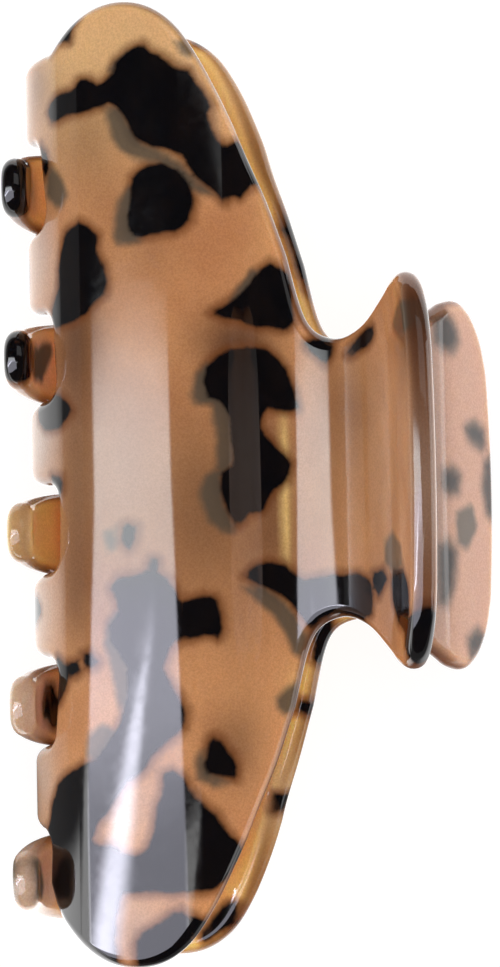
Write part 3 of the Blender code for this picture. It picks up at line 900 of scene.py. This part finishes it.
def front_shade(p):
    """Browner ground in the middle of the body and by the waist, on the teeth and the rim: partly the sheet's own tone,
    partly painted shade where the dark inside shows through and under the highlight.
    """
    return soft_spots(
        p,
        (
            (-18, -27, 9, 4, 0.70),
            (0, -27.5, 14, 4, 0.62),
            (14, -28, 7, 3, 0.35),
            (0, -20.5, 15, 4.5, 0.42),
            (16, -20, 8, 4.5, 0.30),
            (3, -13, 12, 4.5, 0.60),
            (-15.5, -8.5, 4, 5, 0.85),
            (8, -5, 5, 5, 0.42),
            (-1, -4.5, 7, 3, 0.60),
            (-40, -24, 6, 4, 0.36),
            (-31, -23, 6, 4, 0.14),
            (-9, 7.5, 7, 5, 0.30),
            (2, 12, 16, 12, 0.22),
            (30, -10, 5, 3.5, 0.50),
            (17, -9, 5, 3, 0.22),
            (-27, -18, 6, 4, 0.24),
            (0, 3.0, 13, 3.0, 0.20),
            (-17, 23.4, 7.0, 3.0, 0.85),
            (0, 25.9, 26, 1.7, 0.48),
            (0, -43, 60, 6, 0.40),
            (-47, -33.5, 4, 3.0, 0.46),
            (-41, -29.5, 7, 4, 0.24),
            (-26.5, -33.5, 5, 3.0, 0.30),
            (-6, -34, 5, 3.0, 0.34),
            (14, -34.3, 5, 3.0, 0.20),
            (-45, -40, 6, 6, 0.20),
        ),
    )


def front_painted_reflection(p):
    """Painted reflection: a clear honey streak beside the neck's bend, where light reflected from the sheet's inner
    face shows, and two fainter streaks of the same.
    """
    return soft_spots(p, ((1.5, -2.7, 9.5, 0.62, 1.20), (24, -2.0, 3.0, 1.5, 0.30), (-33, -4.0, 9.0, 1.6, 0.20)))


# Painted shade on the back jaw, partly its own greyer tone: a light shade over the body, a band where the front rim
# shades the handle, greyer teeth and a darker lower part of the first tooth.
def back_shade(p):
    return soft_spots(
        p,
        (
            (0, -24, 60, 8, 0.20),
            (0, 13.0, 32, 2.4, 0.55),
            (-25.2, -42, 5, 5, 0.50),
            (-45.2, -42, 5, 6, 0.50),
            (34.4, -45.5, 3.5, 2.8, 0.75),
        ),
    )


def back_painted_glow(p):
    """Painted glow: clear honey along the body's long edge and in the teeth, standing in for light shining through the
    sheet.
    """
    x, s = np.abs(p[:, 0]), p[:, 1]
    line = np.interp(x, (8, 18, 26, 37, 45, 53), (-3, -4, -7, -11, -16, -24))
    teeth = 0.95 * np.clip((-s - 36.0) / 4.0, 0.0, 1.0) * np.clip((-s - 36.0) / 4.0, 0.0, 1.0)
    teeth *= np.exp(-(((p[:, 0] + 5.2) / 8.0) ** 2)) + 0.1 * np.exp(-(((p[:, 0] - 34.8) / 8.0) ** 2))
    return np.clip((s - line) / 3.0, 0.0, 1.0) * np.clip((7.0 - s) / 4.0, 0.0, 1.0) * 0.85 + teeth


def front_painted_veil(p):
    """Greyer, paler teeth, partly the clearer stock and partly a painted veil of reflected light; painted light also on
    the rim, the lower end and the middle of the body.
    """
    return soft_spots(
        p,
        (
            (0, -43, 70, 5, 0.30),
            (-26.5, -34, 5, 3.5, 0.25),
            (-6, -34.5, 5, 3.5, 0.60),
            (14, -34.5, 5, 3.5, 0.35),
            (33.5, -35, 5, 3.5, 0.50),
            (50, -21, 5, 3, 0.30),
            (37, -22, 4, 4, 0.30),
            (3, 26.4, 13, 1.7, 0.44),
            (-2, -21.5, 8, 3.5, 0.12),
        ),
    )


# Painted light on the back jaw, partly its clearer stock: paler, greyer tooth tips where light shines through, and
# paler patches on the strip.
def back_painted_veil(p):
    return soft_spots(
        p,
        (
            (-45.2, -48, 7, 6, 0.78),
            (-25.2, -48, 7, 6, 0.66),
            (-5.2, -50, 7, 5, 0.36),
            (14.8, -43, 6, 4, 0.55),
            (-35.5, -7, 8, 5, 0.40),
            (48, -12, 8, 5, 0.22),
        ),
    )


# Painted light: the back handle paler where it catches the bright surroundings, and the tips of the last teeth paler
# where light shines through them.
def back_painted_light(p):
    x, s = p[:, 0], p[:, 1]
    handle = np.clip((s - 6.0) / 7.0, 0.0, 1.0)
    tips = np.clip((-s - 40.0) / 4.0, 0.0, 1.0) * np.clip((8.0 - x) / 8.0, 0.0, 1.0)
    return 0.90 * handle + 0.55 * tips


front_dark = [np.array(p) for p in FRONT_DARK]
front_deep = [np.array(p) for p in FRONT_DEEP]
back_dark = [np.array(p) for p in BACK_DARK]
back_deep = [np.array(p) for p in BACK_DEEP]
# teeth and turned-under parts of the front jaw
front_dark += [
    patch(-44.6, -44.5, 2.6, 3.0, 20, 11),
    patch(-24.8, -40.5, 3.2, 2.2, -30, 12),
    patch(-5.6, -46.0, 2.2, 2.6, 10, 13),
    patch(14.6, -39.5, 2.2, 3.4, 15, 14),
    patch(34.4, -45.0, 3.0, 2.6, -20, 15),
]
front_dark += [patch(18.6, 23.0, 3.4, 2.0, -38, 16)]
# body and teeth of the back jaw
back_dark += scatter(5, 13, (-50, -33), (50, -20), (2.0, 4.4), back_dark, 2.0)
back_dark += [
    patch(34.8, -48.2, 3.6, 3.0, 0, 21),
    patch(14.8, -48.0, 3.0, 2.2, 0, 22),
    patch(-25.2, -41.5, 2.6, 2.2, 10, 24),
    patch(-45.6, -37.5, 2.2, 1.8, 40, 25),
]
back_dark += [
    patch(10, -10.5, 4.4, 3.0, 20, 31),
    patch(-11, -8.0, 3.4, 3.0, -30, 32),
    patch(-26, -14.5, 4.4, 2.6, 15, 33),
    patch(24, -14.0, 3.6, 2.6, -10, 34),
    patch(-1, 3.5, 2.6, 3.4, 25, 35),
]
back_deep += [patch(14.8, -43.0, 2.6, 2.6, 20, 26), patch(-45.2, -47.0, 2.4, 2.0, 20, 27)]
back_deep += scatter(9, 8, (-48, -32), (48, -19), (1.6, 3.4), back_dark + back_deep, 1.2)

front_jaw = make_jaw("front_jaw_acetate", FRONT, front_dark, front_deep, front_painted_sheen, front_shade, front_painted_reflection, front_painted_veil, ACETATE_FRONT)
back_jaw = make_jaw("back_jaw_acetate", BACK, back_dark, back_deep, back_painted_light, back_shade, back_painted_glow, back_painted_veil, ACETATE_BACK)


# ---------------------------------------------------------------- hinge hardware
def drum(name, centre, axis, r, half, count=72):
    bm = bmesh.new()
    turn = Vector((0, 0, 1)).rotation_difference(Vector(axis)).to_matrix().to_4x4()
    bmesh.ops.create_cone(
        bm,
        cap_ends=True,
        segments=count,
        radius1=r,
        radius2=r,
        depth=2 * half,
        matrix=Matrix.Translation(Vector(centre)) @ turn,
    )
    mesh = bpy.data.meshes.new(name)
    bm.to_mesh(mesh)
    bm.free()
    return mesh


def combine(name, base, others, operation):
    target = bpy.data.objects.new(name, base)
    bpy.context.scene.collection.objects.link(target)
    tools = []
    for i, mesh in enumerate(others):
        tool = bpy.data.objects.new("%s_tool_%d" % (name, i), mesh)
        bpy.context.scene.collection.objects.link(tool)
        tools.append(tool)
        modifier = target.modifiers.new("tool_%d" % i, "BOOLEAN")
        modifier.operation = operation
        modifier.solver = "EXACT"
        modifier.object = tool
    bpy.context.view_layer.update()
    mesh = bpy.data.meshes.new_from_object(target.evaluated_get(bpy.context.evaluated_depsgraph_get()))
    for tool in tools + [target]:
        bpy.data.objects.remove(tool)
    return mesh


def clip_to_row(mesh):
    """Clip millimetres of a mesh to the row frame."""
    count = len(mesh.vertices)
    co = np.empty(count * 3, np.float64)
    mesh.vertices.foreach_get("co", co)
    mesh.vertices.foreach_set("co", to_row(co.reshape(-1, 3)).ravel())
    mesh.update()
    return mesh


def soften(mesh, angle=32.0):
    mesh.shade_smooth()
    mesh.set_sharp_from_angle(angle=rad(angle))
    return mesh


def leaf_middle():
    return -SHEET / 2 - LEAF_GAP - LEAF / 2


def clip_normal(s, side):
    tilt = middle(s)[2]
    return Vector((0.0, -side * math.cos(tilt), math.sin(tilt)))


def web(x0, x1, y0, y1, r, z0, z1):
    """Neck of a knuckle: a bar along X between two depths, its upper and lower faces flaring into the leaf."""
    bm = bmesh.new()
    steps = 10
    upper, lower = [], []
    for i in range(steps + 1):
        t = i / steps
        flare = 0.55 * t ** 3
        upper.append((y0 + (y1 - y0) * t, z1 + flare))
        lower.append((y0 + (y1 - y0) * t, z0 - flare))
    ring = upper + lower[::-1]
    a = [bm.verts.new((x0, y, z)) for y, z in ring]
    b = [bm.verts.new((x1, y, z)) for y, z in ring]
    bm.faces.new(a)
    bm.faces.new(b[::-1])
    for i in range(len(ring)):
        j = (i + 1) % len(ring)
        bm.faces.new((a[i], b[i], b[j], a[j]))
    bmesh.ops.recalc_face_normals(bm, faces=bm.faces)
    mesh = bpy.data.meshes.new("web")
    bm.to_mesh(mesh)
    bm.free()
    return mesh


def leaf_sheet(name, side):
    r = 1.2
    outline = []
    for cx, cs, a0 in (
        (LEAF_HALF - r, LEAF_TOP - r, 90.0),
        (LEAF_HALF - r, LEAF_LOW + r, 0.0),
        (-LEAF_HALF + r, LEAF_LOW + r, -90.0),
        (-LEAF_HALF + r, LEAF_TOP - r, -180.0),
    ):
        outline += arc(cx, cs, r, a0, a0 - 90.0, 10)
    mesh, flat, edge = sheet_mesh(
        name, np.array(outline), LEAF / 2, 0.18, side, leaf_middle(), grid=0.6, step=0.3, soften=0.15
    )
    # back to clip millimetres for the joins
    moved = flat.copy()
    moved[:, 2] += leaf_middle()
    mesh.vertices.foreach_set("co", bend_all(moved, side).ravel())
    mesh.update()
    return mesh


def make_leaf(name, side, look):
    reach = VALLEY + leaf_middle()
    plate = leaf_sheet(name, side)
    adds = []
    for x0, x1 in KNUCKLES:
        centre = (side * (x0 + x1) / 2, 0.0, 0.0)
        adds.append(drum("knuckle", centre, (1, 0, 0), KNUCKLE_R, (x1 - x0) / 2))
        xs = sorted((side * x0, side * x1))
        adds.append(web(xs[0] + 0.02, xs[1] - 0.02, -side * 0.2, -side * reach, 0.0, -1.35, 1.35))
    leaf = combine(name, plate, adds, "UNION")
    cuts = [drum("bore", (0, 0, 0), (1, 0, 0), BORE_R, 20.0)]
    for x in (-STUD_X, STUD_X):
        direction = clip_normal(STUD_S, side)
        centre = bend(x, STUD_S, 0.0, side) + direction * leaf_middle()
        cuts.append(drum("hole", centre, direction, STUD_HOLE_R, 1.5, 48))
    leaf = combine(name, leaf, cuts, "DIFFERENCE")
    if leaf.attributes.get("custom_normal"):
        leaf.attributes.remove(leaf.attributes["custom_normal"])
    return add(name, soften(clip_to_row(leaf)), look)


def lathe(name, profile, centre, axis, count, look):
    """Turned piece from (radius, height) points, closed on its axis."""
    turn = Vector((0, 0, 1)).rotation_difference(Vector(axis)).to_matrix()
    centre = Vector(centre)
    bm = bmesh.new()
    rings = []
    for r, h in profile:
        if r < 1e-6:
            rings.append([bm.verts.new(centre + turn @ Vector((0, 0, h)))])
        else:
            rings.append(
                [
                    bm.verts.new(
                        centre
                        + turn @ Vector((r * math.cos(6.2831853 * i / count), r * math.sin(6.2831853 * i / count), h))
                    )
                    for i in range(count)
                ]
            )
    for a, b in zip(rings, rings[1:]):
        for i in range(count):
            j = (i + 1) % count
            if len(a) == 1:
                bm.faces.new((a[0], b[i], b[j]))
            elif len(b) == 1:
                bm.faces.new((a[i], b[0], a[j]))
            else:
                bm.faces.new((a[i], b[i], b[j], a[j]))
    bmesh.ops.recalc_face_normals(bm, faces=bm.faces)
    mesh = bpy.data.meshes.new(name)
    bm.to_mesh(mesh)
    bm.free()
    return add(name, soften(clip_to_row(mesh), 40.0), look)


def turned(points, r=0.12, steps=4):
    """Profile with its corners rounded."""
    result = [points[0]]
    for p, q, w in zip(points, points[1:], points[2:]):
        p, q, w = Vector(p), Vector(q), Vector(w)
        a = q + (p - q).normalized() * min(r, (p - q).length * 0.45)
        b = q + (w - q).normalized() * min(r, (w - q).length * 0.45)
        for i in range(steps + 1):
            t = i / steps
            m = a * (1 - t) ** 2 + q * 2 * t * (1 - t) + b * t * t
            result.append((m.x, m.y))
    result.append(points[-1])
    return result


def make_pin(name, look):
    h, r = PIN_HALF, PIN_R
    head, end = PIN_HEAD_R, PIN_HEAD_R * 0.8
    profile = [
        (0.0, -h - PIN_HEAD),
        (head * 0.55, -h - PIN_HEAD * 0.97),
        (head * 0.86, -h - PIN_HEAD * 0.72),
        (head, -h - PIN_HEAD * 0.35),
        (head, -h),
        (r, -h),
        (r, h),
        (end, h),
        (end, h + 0.22),
        (end * 0.72, h + 0.48),
        (end * 0.45, h + 0.56),
        (end * 0.30, h + 0.46),
        (0.0, h + 0.42),
    ]
    return lathe(name, turned(profile), (0, 0, 0), (1, 0, 0), 64, look)


def make_stud(name, x, side, look):
    origin, direction = bend(x, STUD_S, 0.0, side), clip_normal(STUD_S, side)
    face = leaf_middle() - LEAF / 2 - 0.1
    profile = [
        (0.0, face - STUD_HEAD),
        (STUD_HEAD_R * 0.5, face - STUD_HEAD * 0.95),
        (STUD_HEAD_R * 0.86, face - STUD_HEAD * 0.68),
        (STUD_HEAD_R, face - STUD_HEAD * 0.25),
        (STUD_HEAD_R, face),
        (STUD_R, face),
        (STUD_R, STUD_END - 0.2),
        (STUD_R - 0.2, STUD_END),
        (0.0, STUD_END),
    ]
    return lathe(name, turned(profile, 0.08), origin, direction, 48, look)


def spring_path():
    """Centre line of the wire: a leg on the front handle, the coil, a leg on the back handle."""
    length = COIL_TURNS * COIL_PITCH

    def leg(side):
        points = []
        for s, n in ((11.2, -2.4), (9.0, -2.75), (6.6, -3.15), (4.2, -3.42), (1.6, -3.45)):
            p = bend(0.0, s, n, side)
            points.append((-side * length / 2, p.y, p.z))
        return points

    total = COIL_TURNS + 0.5
    count = int(48 * total)
    coil = []
    for i in range(count + 1):
        t = i / count
        a = math.pi + 2 * math.pi * total * t
        coil.append((-length / 2 + length * t, COIL_R * math.cos(a), COIL_R * math.sin(a)))
    front = smooth(leg(FRONT) + [coil[0], coil[3]], 6)[:-7]
    back = smooth([coil[-4], coil[-1]] + leg(BACK)[::-1], 6)[7:]
    return front + coil + back


def make_spring(name, look):
    """Round wire swept along its path, with flat cut ends."""
    path = np.array(spring_path())
    tangent = np.gradient(path, axis=0)
    tangent /= np.linalg.norm(tangent, axis=1)[:, None]
    count = 16
    bm = bmesh.new()
    side = Vector(tangent[0]).orthogonal().normalized()
    rings = []
    last = len(path) - 1
    for i, (p, t) in enumerate(zip(path, tangent)):
        t = Vector(t)
        side = (side - t * side.dot(t)).normalized()
        up = t.cross(side)
        radii = (WIRE_R,)
        if i in (0, last):
            radii = (WIRE_R * 0.82, WIRE_R) if i == 0 else (WIRE_R, WIRE_R * 0.82)
        for j, r in enumerate(radii):
            push = 0.0
            if i == 0 and j == 0:
                push = -0.08
            if i == last and j == 1:
                push = 0.08
            rings.append(
                [
                    bm.verts.new(
                        Vector(p)
                        + t * push
                        + side * r * math.cos(6.2831853 * k / count)
                        + up * r * math.sin(6.2831853 * k / count)
                    )
                    for k in range(count)
                ]
            )
    for a, b in zip(rings, rings[1:]):
        for k in range(count):
            m = (k + 1) % count
            bm.faces.new((a[k], a[m], b[m], b[k]))
    bm.faces.new(rings[0][::-1])
    bm.faces.new(rings[-1])
    bmesh.ops.recalc_face_normals(bm, faces=bm.faces)
    mesh = bpy.data.meshes.new(name)
    bm.to_mesh(mesh)
    bm.free()
    return add(name, soften(clip_to_row(mesh), 40.0), look)


front_leaf = make_leaf("front_leaf_plate", FRONT, LEAF_STEEL)
back_leaf = make_leaf("back_leaf_plate", BACK, LEAF_STEEL)
pin = make_pin("pin_turned", PIN_STEEL)
spring = make_spring("spring_wire", SPRING_STEEL)
studs = [
    ("front_stud_a", "front", make_stud("front_stud_a_turned", -STUD_X, FRONT, STUD_STEEL)),
    ("front_stud_b", "front", make_stud("front_stud_b_turned", STUD_X, FRONT, STUD_STEEL)),
    ("back_stud_a", "back", make_stud("back_stud_a_turned", -STUD_X, BACK, STUD_STEEL)),
    ("back_stud_b", "back", make_stud("back_stud_b_turned", STUD_X, BACK, STUD_STEEL)),
]

for piece, node, body, slot in (
    (front_jaw, "front_jaw", "front", "acetate_front"),
    (back_jaw, "back_jaw", "back", "acetate_back"),
    (front_leaf, "front_hinge_leaf", "front", "leaf_steel"),
    (back_leaf, "back_hinge_leaf", "back", "leaf_steel"),
    (pin, "hinge_pin", "back", "pin_steel"),
):
    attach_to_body(piece, body)
    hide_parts(node)
for node, body, piece in studs:
    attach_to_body(piece, body)
    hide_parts(node)
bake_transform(spring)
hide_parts("torsion_spring")

# ---------------------------------------------------------------- floor
def make_floor():
    """Seamless light-toned sheet that rises gently far from the object."""
    bm = bmesh.new()
    rows = []
    count = 96
    for r in (0.0, 0.06, 0.12, 0.2, 0.35, 0.6, 1.0, 1.6, 2.4):
        z = -0.0002 if r < 1.0 else -0.0002 + 0.05 * (r - 0.6) ** 2
        if r == 0.0:
            rows.append([bm.verts.new((0, 0, z))])
        else:
            rows.append(
                [
                    bm.verts.new((r * math.cos(6.2831853 * i / count), r * math.sin(6.2831853 * i / count), z))
                    for i in range(count)
                ]
            )
    for a, b in zip(rows, rows[1:]):
        for i in range(count):
            j = (i + 1) % count
            if len(a) == 1:
                bm.faces.new((a[0], b[i], b[j]))
            else:
                bm.faces.new((a[i], b[i], b[j], a[j]))
    mesh = bpy.data.meshes.new("floor")
    bm.to_mesh(mesh)
    bm.free()
    mesh.shade_smooth()
    n = Nodes("floor_white")
    where = n.node("ShaderNodeTexCoord").outputs["Object"]
    tone = n.noise(where, 9.0, 3.0)
    n.link(n.mix(n.spread(tone, 0.3, 0.7), (0.22, 0.22, 0.22), (0.24, 0.24, 0.24)), n.shader.inputs["Base Color"])
    n.shader.inputs["Roughness"].default_value = 0.9
    n.shader.inputs["Specular IOR Level"].default_value = 0.0
    n.shader.inputs["Emission Color"].default_value = (1.0, 1.0, 1.0, 1.0)
    # the lit part of the table ends beside the object, as its gloss shows
    parts = n.node("ShaderNodeSeparateXYZ")
    n.link(where, parts.inputs[0])
    lit = n.math(
        "MULTIPLY", n.spread(parts.outputs["Y"], -0.092, -0.078), n.spread(parts.outputs["X"], 0.036, 0.020)
    )
    lit = n.math("MULTIPLY", lit, n.spread(parts.outputs["Y"], -0.080, -0.060, 1.0, 1.8))
    beside = n.math(
        "MULTIPLY", n.spread(parts.outputs["Y"], 0.02, 0.06, 0.0, 2.0), n.spread(parts.outputs["Y"], 0.24, 0.16)
    )
    beside = n.math("MULTIPLY", beside, n.spread(n.math("ABSOLUTE", parts.outputs["X"]), 0.16, 0.08))
    ahead = n.math(
        "MULTIPLY", n.spread(parts.outputs["X"], 0.042, 0.051, 0.0, 4.2), n.spread(parts.outputs["X"], 0.13, 0.09)
    )
    ahead = n.math("MULTIPLY", ahead, n.spread(parts.outputs["Y"], 0.01, -0.02))
    ahead = n.math("MULTIPLY", ahead, n.spread(parts.outputs["Y"], -0.24, -0.18))
    far = n.math(
        "MULTIPLY", n.spread(parts.outputs["Y"], -0.17, -0.25), n.spread(parts.outputs["X"], 0.046, 0.066, 0.0, 4.4)
    )
    far = n.math("MULTIPLY", far, n.spread(parts.outputs["X"], 0.34, 0.22))
    lit = n.math("MAXIMUM", n.math("MAXIMUM", lit, far), n.math("MAXIMUM", beside, ahead))
    gloss = n.node("ShaderNodeLightPath").outputs["Is Glossy Ray"]
    hidden = n.math("MULTIPLY", gloss, n.math("SUBTRACT", 1.0, lit))
    n.link(n.math("MULTIPLY", n.math("SUBTRACT", 1.0, hidden), 0.86), n.shader.inputs["Emission Strength"])
    return add("floor", mesh, n.material)


floor = make_floor()

# ---------------------------------------------------------------- light
def softbox(name, centre, target, width, height, power, spin=0.0, glossy=True, colour=(1.0, 1.0, 1.0)):
    light = bpy.data.lights.new(name, "AREA")
    light.shape = "RECTANGLE"
    light.size = width
    light.size_y = height
    light.energy = power
    light.color = colour
    lamp = bpy.data.objects.new(name, light)
    bpy.context.scene.collection.objects.link(lamp)
    way = Vector(target) - Vector(centre)
    lamp.matrix_world = Matrix.Translation(Vector(centre)) @ way.to_track_quat("-Z", "X").to_matrix().to_4x4()
    lamp.visible_glossy = glossy
    return lamp


def radiance(value, width, height):
    """Power of an area light of a given brightness."""
    return value * math.pi * width * height


class Shaped:
    """Nodes that shape the brightness over an area light: u and v run from 0 to 1 along its two sides."""

    def __init__(self, lamp):
        light = lamp.data
        light.use_nodes = True
        self.tree = light.node_tree
        self.emission = self.tree.nodes["Emission"]
        self.emission.inputs["Color"].default_value = (*light.color, 1.0)
        where = self.tree.nodes.new("ShaderNodeNewGeometry")
        parts = self.tree.nodes.new("ShaderNodeSeparateXYZ")
        self.tree.links.new(where.outputs["Parametric"], parts.inputs[0])
        self.u, self.v = parts.outputs["X"], parts.outputs["Y"]

    def put(self, value, socket):
        if isinstance(value, (int, float)):
            socket.default_value = value
        else:
            self.tree.links.new(value, socket)

    def math(self, operation, a, b=0.0):
        node = self.tree.nodes.new("ShaderNodeMath")
        node.operation = operation
        self.put(a, node.inputs[0])
        self.put(b, node.inputs[1])
        return node.outputs[0]

    def line(self, value, at, gain, base):
        """base + gain * (at - value)"""
        return self.math("ADD", self.math("MULTIPLY", self.math("SUBTRACT", at, value), gain), base)

    def ramp(self, value, a, b, low=0.0, high=1.0):
        node = self.tree.nodes.new("ShaderNodeMapRange")
        node.interpolation_type = "SMOOTHSTEP"
        self.put(value, node.inputs["Value"])
        for name, number in (("From Min", a), ("From Max", b), ("To Min", low), ("To Max", high)):
            node.inputs[name].default_value = number
        return node.outputs["Result"]

    def tint(self, value, low, high):
        node = self.tree.nodes.new("ShaderNodeMix")
        node.data_type = "RGBA"
        self.put(value, node.inputs[0])
        node.inputs[6].default_value = (*low, 1.0)
        node.inputs[7].default_value = (*high, 1.0)
        self.tree.links.new(node.outputs[2], self.emission.inputs["Color"])

    def finish(self, strength):
        self.tree.links.new(strength, self.emission.inputs["Strength"])


KEY_DIST = 0.70
KEY_W, KEY_H = 0.66, 1.26
key_way = Vector((0.0, -math.sin(rad(45.0)), math.cos(rad(45.0))))
key_up = Vector((0.0, math.cos(rad(45.0)), math.sin(rad(45.0))))
key_at = Vector((0.19, 0.0, 0.02)) + key_way * KEY_DIST - key_up * 0.03
key = softbox("key", key_at, key_at - key_way, KEY_H, KEY_W, radiance(8.0, KEY_W, KEY_H), colour=(1.0, 1.0, 1.08))
k = Shaped(key)
upper = k.math("MAXIMUM", k.line(k.v, 0.848, 0.667, 0.866), 0.852)
lower = k.math("MINIMUM", k.line(k.v, 0.848, -1.128, 0.182), 0.182)
cover = k.math(
    "MULTIPLY",
    k.ramp(k.math("SUBTRACT", upper, k.u), -0.022, 0.022),
    k.ramp(k.math("SUBTRACT", k.u, lower), -0.022, 0.022),
)
cover = k.math("MULTIPLY", cover, k.ramp(k.v, 0.955, 0.875))
ridge = k.line(k.v, 0.744, -2.75, 0.520)
reach = k.math(
    "DIVIDE", k.math("ABSOLUTE", k.math("SUBTRACT", k.u, ridge)), k.ramp(k.v, 0.78, 0.63, 0.040, 0.19)
)
glow = k.math("MULTIPLY", k.ramp(reach, 1.0, 0.15), k.ramp(k.v, 0.80, 0.735, 0.0, 2.0))
glow = k.math("MULTIPLY", glow, k.ramp(k.v, 0.64, 0.73, 1.15, 1.0))
k.tint(k.ramp(k.v, 0.785, 0.83), (1.0, 1.0, 1.08), (0.98, 1.025, 0.97))
k.finish(k.math("MULTIPLY", cover, k.math("ADD", glow, k.ramp(k.v, 0.675, 0.755, 0.50, 0.98))))

right_way = Vector((0.0, math.cos(rad(9.0)), math.sin(rad(9.0))))
side_light = softbox("right", right_way * 0.9, (0, 0, 0), 0.50, 0.70, radiance(2.4, 0.50, 0.70))
over = softbox("over", (-0.62, 0.50, 1.0), (-0.62, 0.50, 0.0), 0.80, 1.0, radiance(0.8, 0.80, 1.0))
from_, to_ = Vector((0.054, 0.146, 0.705)), Vector((0.087, -0.110, 0.713))
flag = softbox("flag", (from_ + to_) / 2, (0, 0, 0), (to_ - from_).length, 0.044, radiance(3.6, (to_ - from_).length, 0.044))
along = (to_ - from_).normalized()
across = Vector((0.0, 0.0, 1.0)).cross(along).normalized()
above = along.cross(across)
flag.matrix_world = Matrix.Translation((from_ + to_) / 2) @ Matrix((along, across, above)).transposed().to_4x4()
k = Shaped(flag)
taper = k.math("SUBTRACT", k.math("MULTIPLY", k.u, 0.5), k.math("ABSOLUTE", k.math("SUBTRACT", k.v, 0.5)))
k.finish(k.math("MULTIPLY", k.ramp(taper, -0.03, 0.06), k.ramp(k.u, 1.0, 0.75)))
for lamp in (key, side_light, over, flag):
    lamp.visible_diffuse = False

world = bpy.data.worlds.new("studio")
world.use_nodes = True
tree = world.node_tree
background = tree.nodes["Background"]
background.inputs["Color"].default_value = (1.0, 1.0, 1.0, 1.0)
path = tree.nodes.new("ShaderNodeLightPath")
gloss = tree.nodes.new("ShaderNodeMapRange")
gloss.inputs["To Min"].default_value = 0.92
gloss.inputs["To Max"].default_value = 0.03
tree.links.new(path.outputs["Is Glossy Ray"], gloss.inputs["Value"])
tree.links.new(gloss.outputs["Result"], background.inputs["Strength"])
bpy.context.scene.world = world
bpy.context.scene.view_settings.view_transform = "Standard"

# ---------------------------------------------------------------- camera
camera_data = bpy.data.cameras.new("camera")
camera_data.sensor_width = 36.0
camera_data.lens = 137.45
camera_data.clip_start = 0.01
camera = bpy.data.objects.new("camera", camera_data)
bpy.context.scene.collection.objects.link(camera)
right = Vector((0.02068, 0.99843, 0.052)).normalized()
forward = Vector((-0.05751, 0.05312, -0.99693)).normalized()
right = (right - forward * right.dot(forward)).normalized()
down = forward.cross(right)
camera.matrix_world = Matrix.Translation(Vector((0.02426, -0.0236, 0.44322)) + down * 0.00036) @ Matrix(
    (
        (right.x, -down.x, -forward.x),
        (right.y, -down.y, -forward.y),
        (right.z, -down.z, -forward.z),
    )
).to_4x4()
bpy.context.scene.camera = camera
